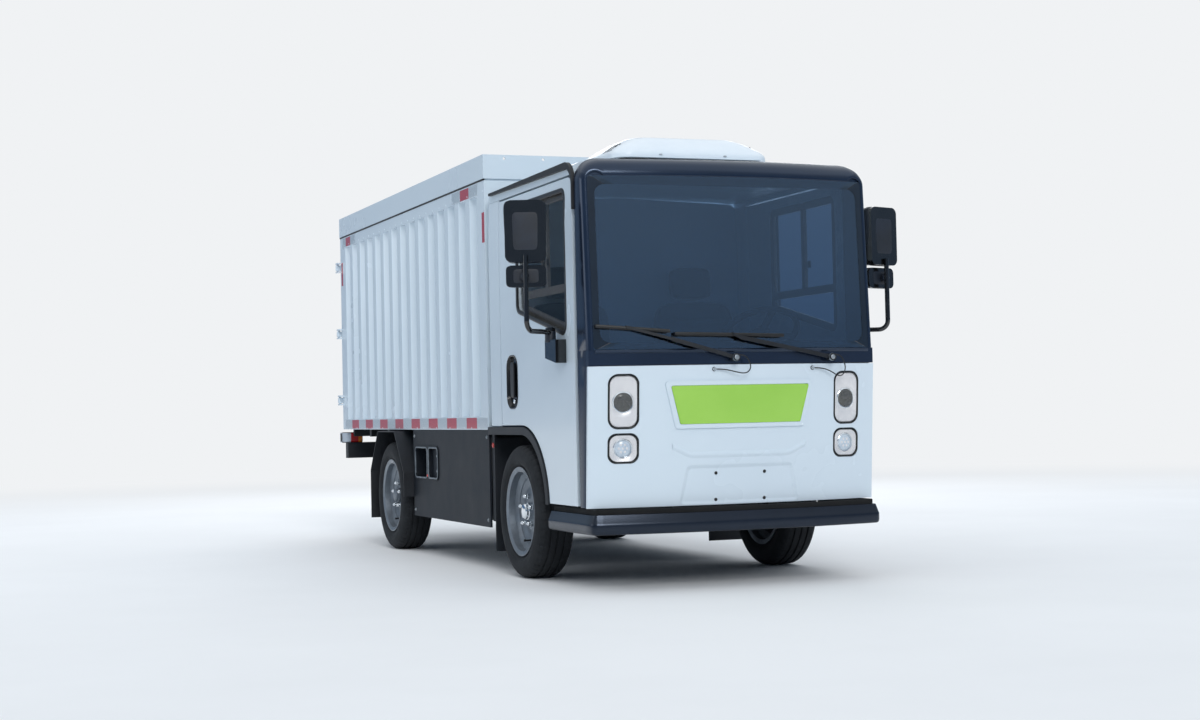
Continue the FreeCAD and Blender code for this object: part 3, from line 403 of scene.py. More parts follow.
def on_front(x, z, proud):
    """Points on the bowed front, proud of its face: a circle in plan that leans with z."""
    x, z, proud = np.broadcast_arrays(np.asarray(x, float), z, proud)
    lean = panel_lean * (np.minimum(z, panel_top_z) - foot_z) + glass_lean * np.clip(z - glass_foot_z, 0,
        None)
    return np.stack([x, station(0) + lean + bow_radius - np.sqrt(bow_radius ** 2 - x ** 2) - proud, z], -1)


def laid(line, proud):
    """Flat points of (x, z) laid on the bowed front, each row proud of it by its own height."""
    return on_front(line[..., 0], line[..., 1], np.asarray(proud)[:, None])


def drawn(x, z, profile):
    """Carries a closed profile of (up, proud) in mm along a line on the bowed front."""
    up, proud = np.array(profile).T / 1000
    return on_front(x, z + up, proud)


def rounded_outline(corners, radius, steps=10):
    """Closed outline whose corners are arcs: centre + the turn from one tangent point to the next."""
    p = np.array(corners, float)
    back, on = np.roll(p, 1, 0) - p, np.roll(p, -1, 0) - p
    back, on = (way / np.linalg.norm(way, axis=1, keepdims=True) for way in (back, on))
    half = np.arccos(np.clip((back * on).sum(1), -1, 1)) / 2
    middle = (back + on) / np.linalg.norm(back + on, axis=1, keepdims=True)
    centre = p + middle * (radius / np.sin(half))[:, None]
    start, end = (p + way * (radius / np.tan(half))[:, None] - centre for way in (back, on))
    angle, t = (np.pi - 2 * half)[:, None, None], np.linspace(0, 1, steps)[None, :, None]
    arc = (start[:, None] * np.sin((1 - t) * angle) + end[:, None] * np.sin(t * angle)) / np.sin(angle)
    return (centre[:, None] + arc).reshape(-1, 2)


def nested(outline, centre, rings):
    """Rows of an outline pushed in towards a centre, each with its own height: (share, height)."""
    share, height = np.array(rings, float).T
    flat = np.asarray(centre) + share[:, None, None] * (outline - centre)
    return (flat[..., 0], flat[..., 1], height[:, None] + 0 * flat[..., 0])


def both(grid):
    """The grid and its mirror image on the other side of the truck."""
    grid = np.asarray(grid, float)
    return np.stack([grid, grid * (-1, 1, 1)])


def inset(outline, by):
    """Closed outline moved in by a distance, square to itself; anticlockwise as seen from ahead."""
    along = np.roll(outline, -1, 0) - np.roll(outline, 1, 0)
    along /= np.linalg.norm(along, axis=1, keepdims=True)
    return outline + np.asarray(by)[..., None, None] * np.stack([-along[:, 1], along[:, 0]], 1)


def evened(outline, count):
    """Closed outline as evenly spaced points, counted along its own length."""
    ring = np.concatenate([outline, outline[:1]])
    gone = np.concatenate([[0], np.cumsum(np.linalg.norm(np.diff(ring, axis=0), axis=1))])
    along = np.linspace(0, gone[-1], count, endpoint=False)
    return np.stack([np.interp(along, gone, ring[:, axis]) for axis in (0, 1)], 1)


def boxed(low_x, high_x, low_z, high_z, radius, steps=10):
    """Rounded outline of an upright rectangle."""
    return rounded_outline([(low_x, low_z), (high_x, low_z), (high_x, high_z), (low_x, high_z)], radius,
        steps)


# Rolled edge of the plate recess, sloping from the panel's face down to the recess floor
edge = evened(rounded_outline([(-0.285, 0.362), (0.285, 0.362), (0.249, 0.527), (-0.249, 0.527)], 0.016),
    160)
line = inset(edge, [-0.004, -0.001, 0.005, 0.011, 0.015])
surface("recess_edge", laid(line, [0.0004, 0.0003, -0.0028, -0.0056, -0.0064]), body_enamel, "body_white")
# The swage: height 4.5 mm x (1 - t^2)^2 across it, along three straight runs with bent joins
run = softened([(-0.318, 0.6125), (-0.262, 0.5855), (-0.238, 0.5745), (-0.2, 0.5735), (0.2, 0.5735),
    (0.238, 0.5745), (0.262, 0.5855), (0.318, 0.6125)], 3)
t = np.linspace(-1, 1, 15)
ridge = on_front(run[:, :1] + 0 * t, run[:, 1:] + 0.017 * t, 0.0045 * (1 - t ** 2) ** 2 - 0.0003)
under = on_front(run[:, :1] + 0 * t, run[:, 1:] + 0.017 * t, -0.004)
surface("front_swage", np.concatenate([ridge, under[:, ::-1]], 1), body_enamel, "body_white")
screw = facing([(0, 0), (0, 7.5), (1.6, 7.3), (3.4, 4.5), (3.6, 2.8), (2.2, 2.6), (2.2, 0)], 20)
spots = on_front(np.array([-0.116, 0.116, -0.116, 0.116]), np.array([0.493, 0.493, 0.378, 0.378]), -0.006)
surface("plate_screws", spread(screw, spots), hose_rubber, "wheel_silver")
grommet = facing([(0, 2.6), (0, 9), (3, 9.5), (6, 8), (9.5, 4.2), (10, 2.6)], 24)
spots = on_front(np.array([-0.131, 0.35]), np.array([0.941, 0.942]), -0.001)
surface("hose_grommets", spread(grommet, spots), hose_rubber, "hose_black", loop_u=True)


# ---- Badge plate ----
# A green acrylic plate, wider at its top, bonded into the raised boss, blank. Cast acrylic has an
# even colour with depth under a polished face, and its turned-down edge catches a light line.
badge_acrylic = coated("cast_green_acrylic", "#9CD04A", "#90C73C", 0.12, 4, 0.01, patch=0.5,
    **{"Coat Weight": 0.8, "Coat Roughness": 0.04})
dress(badge_acrylic, "badge_plate")
outline = rounded_outline([(-0.286, 0.707), (0.286, 0.707), (0.329, 0.872), (-0.329, 0.872)], 0.008)
x, z, proud = nested(outline, (0.0, 0.79), [(1.0, 0.0088), (1.0, 0.01), (0.992, 0.0106), (0.984, 0.0098),
    (0.982, 0.0088)])
surface("badge_edge", on_front(x, z, proud), badge_acrylic, "badge_green", loop_u=True)
# Wide polished rim of the boss round the plate, standing a little higher than the panel
outline = rounded_outline([(-0.304, 0.69), (0.304, 0.69), (0.353, 0.889), (-0.353, 0.889)], 0.016)
x, z, proud = nested(outline, (0.0, 0.79), [(1.012, -0.001), (1.008, 0.005), (0.998, 0.0085),
    (0.985, 0.0088), (0.975, 0.007), (0.972, 0.003)])
surface("boss_edge", on_front(x, z, proud), body_enamel, "body_white", loop_u=True)


# ---- Headlamps and lower lamps ----
# Each lamp is a black tray round a bright vacuum-metallised bezel, under a thin clear cover. The
# upper one has a dark projector lens in a chromed ring, and the lower one a pressed lens with
# seven pearls.
def clear(name, colour, roughness, ior, transmission=1.0, **values):
    """A see-through moulding or glass, lightly tinted, with faint waviness from its making."""
    material, tree, place = blank(name)
    wave = add_node(tree, "TexNoise", {"Scale": 3.0, "Detail": 1.0}, {"Vector": place})
    finished(tree, {"Base Color": linear(colour), "Roughness": roughness, "IOR": ior,
        "Transmission Weight": transmission, **values}, wave.outputs["Fac"], 0.0003, 0.3)
    return material


lamp_black = coated("moulded_black_polycarbonate", "#090B0E", "#0F1215", 0.2, 2, 0.03, patch=0.1)
reflector = coated("vacuum_metallised_reflector", "#E6E4E4", "#D6D5D7", 0.3, 20, 0.02, patch=0.08,
    **{"Metallic": 0.3, "Coat Weight": 0.5})
cover_plastic = clear("clear_polycarbonate_cover", "#F7FAFB", 0.02, 1.58, 0.0, **{"Alpha": 0.05})
projector_glass = coated("dark_projector_lens", "#05080A", "#2C2B20", 0.05, 20, 0.01, patch=0.03,
    **{"Specular IOR Level": 0.25})
pressed_lens = coated("pressed_clear_lens", "#C9D5E0", "#B4C3D2", 0.1, 4, 0.1, patch=0.03,
    **{"Coat Weight": 0.7})
lamp_x = 0.533
around = np.linspace(0, 2 * np.pi, 48, endpoint=False)
for kind, middle_z, half_z, corner, lens_z, lens_r, lens in (
        ("headlamps", 0.809, 0.117, 0.045, 0.806, 0.041, projector_glass),
        ("indicator_lamps", 0.609, 0.064, 0.042, 0.609, 0.037, pressed_lens)):
    edge = evened(rounded_outline([(0.6, middle_z - half_z), (0.6, middle_z + half_z),
        (0.466, middle_z + half_z), (0.466, middle_z - half_z)], corner, 12), 96)

    def rows(by, height):
        """Rows moved in from the lamp's edge, each at its own height off the panel."""
        return both(laid(inset(edge, by), height))

    def bowl(rings):
        """Rings about the lens's middle: (share of its radius, height off the panel)."""
        share, height = np.array(rings, float).T
        radius = lens_r * share[:, None]
        return both(on_front(lamp_x + radius * np.cos(around), lens_z + radius * np.sin(around),
            height[:, None]))

    housing = surface("lamp_tray_" + kind, rows([0.0, 0.0, 0.0012, 0.0045, 0.0068, 0.0076, 0.0076],
        [-0.046, 0.0008, 0.0026, 0.003, 0.0018, -0.001, -0.046]), lamp_black, "headlamp_clear", loop_u=True)
    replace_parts(housing, kind)
    turn = np.arctan2(edge[:, 1] - lens_z, edge[:, 0] - lamp_x)
    circle = np.stack([lamp_x + 1.12 * lens_r * np.cos(turn), lens_z + 1.12 * lens_r * np.sin(turn)], 1)
    first = inset(edge, 0.0078)
    line = first + np.array([0, 0.05, 0.2, 0.6, 0.93, 1.0, 1.0, 0.0])[:, None, None] * (circle - first)
    height = [-0.005, -0.0022, -0.003, -0.0046, -0.007, -0.009, -0.024, -0.024]
    surface("lamp_bezel_" + kind, both(laid(line, height)), reflector, "headlamp_clear", loop_u=True)
    x, z, height = nested(first, (lamp_x, middle_z), [(0.0, 0.0024), (0.5, 0.0022), (0.9, 0.0014),
        (1.0, -0.0004), (1.0, -0.0016), (0.9, 0.0002), (0.0, 0.0012)])
    surface("lamp_cover_" + kind, both(on_front(x, z, height)), cover_plastic, "headlamp_clear")
    surface("lamp_ring_" + kind, bowl([(0.97, -0.024), (0.97, -0.0075), (1.0, -0.0052), (1.06, -0.0046),
        (1.12, -0.0062), (1.15, -0.01), (1.15, -0.024)]), chrome, "headlamp_clear", loop_u=True)
    rise = np.linspace(0, np.pi / 2, 12)
    dome = np.stack([0.98 * np.sin(rise), -0.015 + 0.012 * np.cos(rise)], 1)
    surface("lamp_lens_" + kind, bowl(np.concatenate([dome, [(0.98, -0.024), (0.0, -0.024)]])), lens,
        "headlamp_clear")
# Pressed pearls of the lower lamp's lens: six round one, each a low dome
pearl_turn = np.concatenate([[0.0], np.pi / 3 * np.arange(6)])
pearl_reach = np.array([0.0] + [0.0165] * 6)
rise = np.linspace(0, np.pi / 2, 6)
pearl = 0.0066 * np.sin(rise)[:, None, None] * np.stack([np.cos(around[::3]), np.sin(around[::3])], -1)
spots = np.stack([lamp_x + pearl_reach * np.cos(pearl_turn), 0.609 + pearl_reach * np.sin(pearl_turn)], -1)
line = spread(pearl, spots)
height = -0.005 - 0.5 * pearl_reach[:, None, None] * 0.16 + 0.0034 * np.cos(rise)[None, :, None]
pearls = on_front(line[..., 0], line[..., 1], height)
surface("lamp_pearls", np.concatenate([pearls, pearls * (-1, 1, 1)]), reflector, "headlamp_clear")


# ---- Windshield, its posts and the cowl ----
# Bowed laminated glass, 7 mm thick and tinted blue-grey, glued into black posts and a header. A
# black ceramic band is fired on round its edge to hide the glue. The posts, the header and the
# cowl strip below are glossy black with a navy base, like thick lacquer over plastic, and a blue
# specular tint paints a blue sky reflection into their gloss.
# Blue specular tint: a painted blue sky reflection on the black gloss
lacquer = coated("black_lacquered_plastic", "#0A1424", "#0E1A2D", 0.2, 10, 0.01, patch=0.5,
    **{"Specular IOR Level": 0.9, "Specular Tint": linear("#BCD0EC")})
dress(lacquer, "cowl_panel")
# The glass's reflections get a pale blue specular tint: a painted blue sky reflection
dress(clear("tinted_laminated_glass", "#7C97B4", 0.0, 2.3, **{"Specular Tint": linear("#DCEBFA")}),
    "windshield")
ceramic = coated("black_ceramic_frit", "#0B1420", "#0F1A28", 0.08, 4, 0.005, patch=0.2,
    **{"Specular IOR Level": 0.9})
outline = boxed(-0.659, 0.659, 1.033, 1.778, 0.012)
inner = boxed(-0.63, 0.63, 1.06, 1.742, 0.045)
# Posts and header in one: a section of (inwards, depth behind the face) for a post and one for the
# header, blended round the top corners, and closed by a back that keeps to fixed stations
post = [(0.062, 0.0095), (0.0262, 0.0095), (0.0262, 0.0005), (0.0225, -0.0008), (0.014, 0.0008),
    (0.007, 0.0065), (0.0025, 0.017), (0.0005, 0.032), (0.0, 0.05)]
header = [(0.096, 0.0095), (0.0872, 0.0095), (0.0872, 0.0005), (0.082, -0.0008), (0.066, 0.001),
    (0.042, 0.009), (0.02, 0.03), (0.0065, 0.065), (0.0008, 0.105)]
backs = np.array([(0.0, 0.0, 150.0), (0.009, 0.0, 150.5), (0.009, 0.001, 172.0), (0.062, 0.096, 172.0)])
rise = np.concatenate([np.linspace(0.358, 0.9615, 8), np.linspace(0.9625, 1.0295, 3),
    np.linspace(1.031, 1.765, 16)])
arc = np.linspace(0, np.pi / 2, 16)
half = np.concatenate([np.stack([0.686 + 0 * rise, rise], 1),
    np.stack([0.585 + 0.101 * np.cos(arc), 1.765 + 0.101 * np.sin(arc)], 1),
    np.stack([np.linspace(0.54, 0.0, 10), np.full(10, 1.866)], 1)])
rim_line = np.concatenate([half, half[-2::-1] * (-1, 1)])
along = np.gradient(rim_line, axis=0)
along /= np.linalg.norm(along, axis=1, keepdims=True)
inwards = np.stack([-along[:, 1], along[:, 0]], 1)
share = np.clip((np.pi / 2 - np.arctan2(np.abs(along[:, 1]), np.abs(along[:, 0]))) / (np.pi / 2), 0, 1)[:,
    None]
share = share * share * (3 - 2 * share)
front_part = np.array(post)[None] * (1 - share[..., None]) + np.array(header)[None] * share[..., None]
behind = np.where(rim_line[:, 1] < 0.962, 0.017, np.where(rim_line[:, 1] < 1.03, 0.035, 0.0))[:, None]
flat = rim_line[:, None] + front_part[..., :1] * inwards[:, None]
face = on_front(flat[..., 0], flat[..., 1], -front_part[..., 1] - behind)
face[..., 1] = np.minimum(face[..., 1], station(149))
flat = rim_line[:, None] + (backs[:, 0] * (1 - share) + backs[:, 1] * share)[..., None] * inwards[:, None]
rear = np.stack([flat[..., 0], station(backs[:, 2]) + 0 * flat[..., 0], flat[..., 1]], -1)
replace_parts(surface("posts_and_header", np.concatenate([face, rear], 1), lacquer, "gloss_black", crease=50),
    "windshield_frame")
line = outline + np.array([0, 0, 0.5, 1, 1, 0.5])[:, None, None] * (inner - outline)
surface("ceramic_band", laid(line, [-0.0019, -0.0015, -0.0014, -0.0015, -0.0019, -0.0019]), ceramic,
    "gloss_black", loop_u=True)
# Raised lip along the cowl's top, and a near-black strip sunk into the gap at its foot as painted shade
t = np.linspace(-0.655, 0.655, 120)[:, None]
lip = [(14, 0), (18, 4), (24, 5), (28.5, 3), (28.5, -6), (14, -6)]
surface("cowl_lip", drawn(t, 1.0, lip), lacquer, "gloss_black")
shadow_gap = [(0.5, -1), (0.5, -10), (2.5, -10), (2.5, -1)]
surface("cowl_gap_shade_strip", drawn(t, panel_top_z, shadow_gap), hose_rubber, "black_rubber")


# ---- Wipers ----
# Steel arms and blade carriers, powder coated black, with a rubber lip under each blade and a
# zinc-alloy cap over each spindle. The powder coat is dull with a fine orange-peel.
dress(coated("black_powder_coated_steel", "#0A0E15", "#0F141C", 0.45, 1.2, 0.04, patch=0.1), "wipers")
wiper_lip = [(2.8, 10), (2.2, 4), (0.8, -1.2), (-0.8, -1.2), (-2.2, 4), (-2.8, 10)]
wiper_spine = [(7.5, 25.5), (4.5, 27.5), (0, 28.2), (-4.5, 27.5), (-7.5, 25.5)]
for side, ends in (("right", ((-0.655, 1.131), (-0.337, 1.106))),
        ("left", ((-0.315, 1.094), (0.196, 1.084)))):
    x, z = np.linspace(*np.array(ends), 60).T[..., None]
    surface("wiper_lip_" + side, drawn(x, z, wiper_lip), hose_rubber, "wiper_black")
    surface("wiper_spine_" + side, drawn(x, z, wiper_spine), hose_rubber, "wiper_black")
cap = facing([(0, 0), (0, 17.2), (6, 17.2), (9, 16), (11.5, 11), (12.5, 4), (12.5, 0)], 32)
spots = on_front(np.array([-0.044, 0.436]), np.array([0.99, 0.988]), 0.0345)
surface("spindle_caps", spread(cap, spots), zinc, "wheel_silver")


# ---- Front bumper ----
# A rotation-moulded bar in black polyethylene that wraps round to the wheel arches. It has a
# waxy half gloss and a fine moulded texture. A near-black matt foam filler closes the gap to the
# panel above; its black is painted shade for the dark gap there.
def rounded_block(centre, half, sharp=0.25, rows=24, columns=48):
    """Superquadric block: sign(c) |c|^sharp of each spherical coordinate, times its half sizes in mm."""
    half = np.asarray(half) / 1000
    u = np.linspace(-np.pi / 2, np.pi / 2, rows)[:, None]
    v = np.linspace(-np.pi, np.pi, columns, endpoint=False)[None, :]
    cu, su, cv, sv = (np.sign(w) * np.abs(w) ** sharp for w in (np.cos(u), np.sin(u), np.cos(v), np.sin(v)))
    return np.stack([cu * cv * half[0], cu * sv * half[1], su * half[2] + 0 * v], -1) + centre


def bent(path, profile):
    """Carries a closed profile of (inwards, z) in mm along an open plan line of (x, y), ends closed."""
    along = np.gradient(path, axis=0)
    along /= np.linalg.norm(along, axis=1, keepdims=True)
    inner = np.stack([-along[:, 1], along[:, 0]], 1)
    profile = np.asarray(profile) / 1000
    flat = path[:, None] + profile[None, :, :1] * inner[:, None]
    tube = np.concatenate([flat, np.broadcast_to(profile[:, 1:], flat.shape[:2] + (1,))], -1)
    ends = [np.broadcast_to(row.mean(0), row.shape) for row in (tube[0], tube[-1])]
    return np.concatenate([ends[0][None], tube, ends[1][None]])


# Blue specular tint: a painted blue sky reflection on the bumper's gloss
polyethylene = coated("moulded_black_polyethylene", "#060B14", "#090F1A", 0.24, 1.5, 0.04, patch=0.35,
    **{"Specular IOR Level": 0.8, "Specular Tint": linear("#BCCBE2")})
# Near-black matt foam: painted shade for the gap between the bumper and the panel
gap_shade_foam = coated("black_gap_shade_foam", "#030406", "#06080A", 0.9, 2, 0.2, patch=0.1)
bow = np.linspace(-0.635, 0.635, 40)
bow = np.stack([bow, station(-75 + 66 * (bow / 0.65) ** 2)], 1)
turn = np.concatenate([softened([(0.645, station(-10)), (0.686, station(0)), (0.695, station(45)),
    (0.695, station(120))], 4), [(0.695, station(330)), (0.695, station(548))]])
path = np.concatenate([turn[::-1] * (-1, 1), bow, turn])
bar = surface("bumper_bar", bent(path, [(17, 330), (15, 329), (3.4, 296.5), (0.8, 291.5), (0, 286),
    (0, 262), (2, 252.5), (6.5, 247), (12, 245.2), (39, 245.2), (39, 330)]), polyethylene, "bumper_black")
surface("bumper_gap_shade_filler", bent(path, [(28.5, 329), (28.5, 350), (30, 351.8), (39, 351.8), (39, 329)]), gap_shade_foam,
    "bumper_black")
# The two steel brackets behind the bar, folded up to the chassis rails
arms = np.stack([rounded_block((x, station(s), z), half, 0.12, 12, 24) for x in (-0.255, 0.255) for s, z,
    half in ((45, 0.296, (19, 75, 34)), (108, 0.381, (19, 12, 119)))])
surface("bumper_brackets", arms, hose_rubber, "chassis_black")
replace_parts(bar, "front_bumper")


# ---- Roof gutters, arch mouldings and fenders ----
# Extruded and moulded black rubber and polypropylene: the drip mouldings along the roof, the
# mouldings over the front wheels with their splash panels, and the folded strips at the rear.
trim = coated("black_polypropylene_trim", "#090E15", "#101720", 0.44, 1.2, 0.07, patch=0.25, film="#272D34")
dress(coated("extruded_gutter_rubber", "#0B0F14", "#12171D", 0.5, 2, 0.05, patch=0.2), "roof_gutters")
dress(trim, "wheel_arch_trims", "rear_fenders")
marker = lathe([(0, 0), (0, 13.5), (3, 13), (5.5, 9.5), (6.5, 4), (6.6, 0)], 28, at(672, 1414, 615))
lens_red = coated("moulded_red_lens", "#C22A1A", "#B02016", 0.15, 2, 0.05, patch=0.03,
    **{"Coat Weight": 0.6})
surface("side_markers", both(marker), lens_red, "tail_red")


# ---- Seats ----
# Two sprung seats in woven polyester over moulded foam. Each has a cushion, a backrest and a
# headrest with crowned faces, sides that pull in at the corners, and sewn channels across.
# The weave's threads are 1.2 mm apart; the pattern is drawn at 4 mm so that it shows
cloth, tree, place = blank("woven_polyester_upholstery")
warp, weft = (add_node(tree, "TexWave", {"Scale": 80.0, "Distortion": 0.4}, {"Vector": place},
    bands_direction=way).outputs["Fac"] for way in "XZ")
weave = add_node(tree, "Math", links={0: warp, 1: weft}, operation="MAXIMUM")
fleck = add_node(tree, "TexNoise", {"Scale": 300.0, "Detail": 2.0}, {"Vector": place})
tone = ramp(tree, fleck.outputs["Fac"], (0.4, "#1F2228"), (0.65, "#343841"))
finished(tree, {"Roughness": 0.9, "Sheen Weight": 0.35, "Sheen Roughness": 0.5}, weave.outputs[0], 0.0006,
    Base_Color=tone)


def pillow(half, edge, corner):
    """Crowned pad: (|x/a|^p + |z/c|^p)^(q/p) + |y/b|^q = 1, with p = 2/corner and q = 2/edge."""
    u = np.linspace(-np.pi / 2, np.pi / 2, 64)[:, None]
    v = np.linspace(-np.pi, np.pi, 128, endpoint=False)[None, :]

    def power(value, p):
        return np.sign(value) * np.abs(value) ** p

    x = power(np.cos(u), edge) * power(np.cos(v), corner)
    z = power(np.cos(u), edge) * power(np.sin(v), corner)
    y = power(np.sin(u), edge) + 0 * v
    return np.stack([x, y, z], -1) * half


def cushion(name, centre, half, tilt, channels):
    """Pillow whose sides pull in at its corners by 3.5% x (x z)^2, leaned back by tilt.

    Sewn channels sink across its face as narrow valleys exp(-(v / 6 mm)^2).
    """
    points = pillow(half, 0.5, 0.34)
    pull = 1 - 0.035 * (points[..., :1] * points[..., 2:] / (half[0] * half[2])) ** 2
    points = points * np.concatenate([pull, np.ones_like(pull), pull], -1)
    for level_z in channels:
        valley = np.exp(-((points[..., 2] - level_z) / 0.006) ** 2)
        points[..., 1] *= 1 - 0.16 * valley
    c, s = math.cos(tilt), math.sin(tilt)
    lean = np.array([(1, 0, 0), (0, c, s), (0, -s, c)])
    pad = surface(name, both(points @ lean + centre), cloth, "seat_fabric", crease=70)
    return pad


cushion("seat_cushions", at(335, 945, 795), (0.213, 0.072, 0.2), math.radians(94), (-0.08, 0.08))
back_pad = cushion("seat_backs", at(335, 1218, 1085), (0.21, 0.06, 0.222), math.radians(-6),
    (-0.12, 0.0, 0.12))
cushion("headrests", at(335, 1262, 1405), (0.108, 0.04, 0.078), math.radians(-4), ())
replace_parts(back_pad, "seats")
edge = boxed(0.165, 0.505, station(795), station(1215), 0.03)
x, y, z = nested(edge, (0.335, station(1005)), [(0.0, 0.7005), (1.0, 0.7005), (1.0, 0.722), (0.9, 0.735),
    (0.0, 0.735)])
surface("seat_plinths", both(np.stack([x, y, z], -1)), trim, "interior_plastic")


# ---- Dashboard and steering wheel ----
# The facia is injection-moulded ABS with a leather-like grain, so it stays matt under the glass.
# It has an instrument hood, slatted vents and a padded horn boss on the wheel.
grained = coated("grained_black_abs", "#1C1E21", "#232629", 0.62, 2.2, 0.25, patch=0.4)
dress(grained, "dashboard", "steering_wheel")
surface("instrument_hood", rounded_block(at(330, 245, 1030), (170, 75, 42), 0.5), grained,
    "interior_plastic", crease=50)
slats = np.stack([rounded_block((x, station(352), 0.905 - 0.011 * k), (62, 10, 2.8), 0.3, 8, 24)
    for x in (-0.5, -0.1, 0.1, 0.53) for k in range(6)])
surface("vent_slats", slats, lamp_black, "interior_plastic")
column = np.array([0, 0.6, 0.8])
boss = lathe([(-20, 0), (-20, 50), (0, 56), (10, 50), (16, 30), (17.5, 0)], 40)
sideways, forward = np.array([1.0, 0, 0]), np.cross(column, [1.0, 0, 0])
boss = boss[..., :1] * column + boss[..., 1:2] * sideways + boss[..., 2:] * forward
surface("horn_boss", boss + at(330, 470, 1110), grained, "interior_plastic", body="steering_wheel")


# ---- Cab doors ----
# Steel doors in the body's enamel. Each has a rubber seal round its window, a grey-brown painted
# sash behind the glass with small black latches, and a black pull handle in an oval recess.
glazing_rubber = coated("epdm_glazing_seal", "#0E0F11", "#15171A", 0.38, 2, 0.04, patch=0.2)
sash_enamel = coated("grey_brown_sash_enamel", "#6E6761", "#7A736C", 0.4, 2, 0.04, patch=0.2)
dress(clear("clear_tempered_glass", "#20292C", 0.02, 1.52, 0.0, **{"Alpha": 0.26}), "door_glass_left",
    "door_glass_right")
opening = rounded_outline([(station(286), 1.107), (station(960), 1.25), (station(960), 1.746),
    (station(286), 1.746)], 0.042, 12)


def side_x(z):
    """X of the cab's outer side: upright up to 1.6 m, then leaning in by 6 mm in 200 mm."""
    return 0.686 - 0.03 * np.clip(np.asarray(z) - 1.6, 0, 0.2)


def carried(line, profile, base_x):
    """Carries a profile of (outwards in the plane, along X) in mm round a closed line of (y, z)."""
    along = np.roll(line, -1, 0) - np.roll(line, 1, 0)
    along /= np.linalg.norm(along, axis=1, keepdims=True)
    out = np.stack([along[:, 1], -along[:, 0]], 1)
    profile = np.asarray(profile) / 1000
    flat = line[:, None] + profile[None, :, :1] * out[:, None]
    return np.stack([base_x(flat[..., 1]) + profile[None, :, 1], flat[..., 0], flat[..., 1]], -1)


seal = carried(opening, [(-10, -6), (-10, 1.5), (-4, 3.2), (6, 3.2), (9.5, 1.8), (9.5, -0.4), (0.5, -0.4),
    (0.5, -6)], side_x)
paired("window_seal", seal, "door", glazing_rubber, "black_rubber", loop_u=True)
sash = carried(opening, [(-34, -4), (-34, 6), (-30, 8.5), (0, 8.5), (0, -6)], lambda z: 0.65 + 0 * z)
paired("sash_frame", sash, "door", sash_enamel, "body_white", loop_u=True)
bars = np.stack([rounded_block(at(651, 623, 1319), (8.2, 334, 18.5), 0.12),
    rounded_block(at(651, 612, 1536), (8.4, 16.2, 206), 0.12)])
paired("sash_bars", bars, "door", sash_enamel, "body_white")
latches = np.stack([rounded_block((0.6625, station(s), z), (5, 11, 17), 0.4, 12, 24) for s,
    z in ((640.0, 1.45), (586.0, 1.45), (640.0, 1.62))])
paired("sash_latches", latches, "door", trim, "mirror_black")
recess = boxed(station(972), station(1128), 0.796, 1.04, 0.06, 12)
flat_y, flat_z, x = nested(recess, (station(1050), 0.918), [(1.03, 0.6858), (1.05, 0.6875), (1.03, 0.689),
    (0.99, 0.6885), (0.96, 0.68), (0.93, 0.6728), (0.0, 0.6726), (0.0, 0.672), (0.99, 0.6722)])
paired("handle_recess", np.stack([x, flat_y, flat_z], -1), "door", lamp_black, "mirror_black", loop_u=True)
lever = rounded_block(at(683.5, 1050, 928), (6, 26, 84), 0.35)
lock = rounded_block(at(677.5, 1050, 826), (5.5, 12, 12), 0.9)
paired("door_lever", lever, "door", trim, "mirror_black")
paired("door_lock", lock, "door", chrome, "wheel_silver")


# ---- Mirrors ----
# Each mirror stands on a bent steel tube in glossy black: a tall main head over a small
# wide-angle one. The shells are fine-grained black nylon, their glasses face rearwards, and a
# cast bracket with a socket holds the tube on the door.
nylon = coated("fine_grained_black_nylon", "#0E1620", "#152030", 0.5, 1, 0.12, patch=0.12)
tube_black = coated("stove_enamelled_tube", "#0D0E10", "#131416", 0.16, 10, 0.01, patch=0.1,
    **{"Coat Weight": 0.6})
silvering = coated("silvered_mirror_glass", "#EDF1F3", "#E6EBEE", 0.02, 50, 0.002, patch=0.2, Metallic=1.0)


def turned_head(grid, centre):
    """Turns a grid by 20 degrees about an upright line and puts it at its place."""
    c, s = math.cos(math.radians(20)), math.sin(math.radians(20))
    return grid @ np.array([(c, s, 0), (-s, c, 0), (0, 0, 1)]) + centre


dress(tube_black, "mirror_left", "mirror_right")
for part, centre, half, corner in (("main", at(870, 272, 1555), (0.0905, 0.032, 0.137), 0.24),
        ("wide", at(866, 284, 1362), (0.0875, 0.0205, 0.0485), 0.3)):
    shell = pillow(half, 0.62, corner)
    shell[..., 0] *= 1 + 0.05 * shell[..., 2:3][..., 0] / half[2] * (part == "main")
    paired("mirror_shell_" + part, turned_head(shell, centre), "door", nylon, "mirror_black", crease=60)
    rim = boxed(-half[0] + 0.012, half[0] - 0.012, -half[2] + 0.012, half[2] - 0.012, 0.02)
    x, z, y = nested(rim, (0.0, 0.0), [(0.0, half[1] + 0.0022), (0.6, half[1] + 0.0018),
        (1.0, half[1] + 0.0005), (1.0, half[1] - 0.004), (0.0, half[1] - 0.004)])
    paired("mirror_glass_" + part, turned_head(np.stack([x, y, z], -1), centre), "door", silvering,
        "wheel_silver")
cup = lathe([(-33, 0), (-33, 20), (-30, 24.5), (12, 24), (26, 17), (34, 12.5), (34, 0)], 36)[...,
    [2, 1, 0]] + at(722, 392, 1112)
paired("mirror_socket", cup, "door", nylon, "mirror_black")
ball = rounded_block(at(884, 252, 1362), (20, 20, 20), 1.0)
paired("mirror_ball", ball, "door", nylon, "mirror_black")
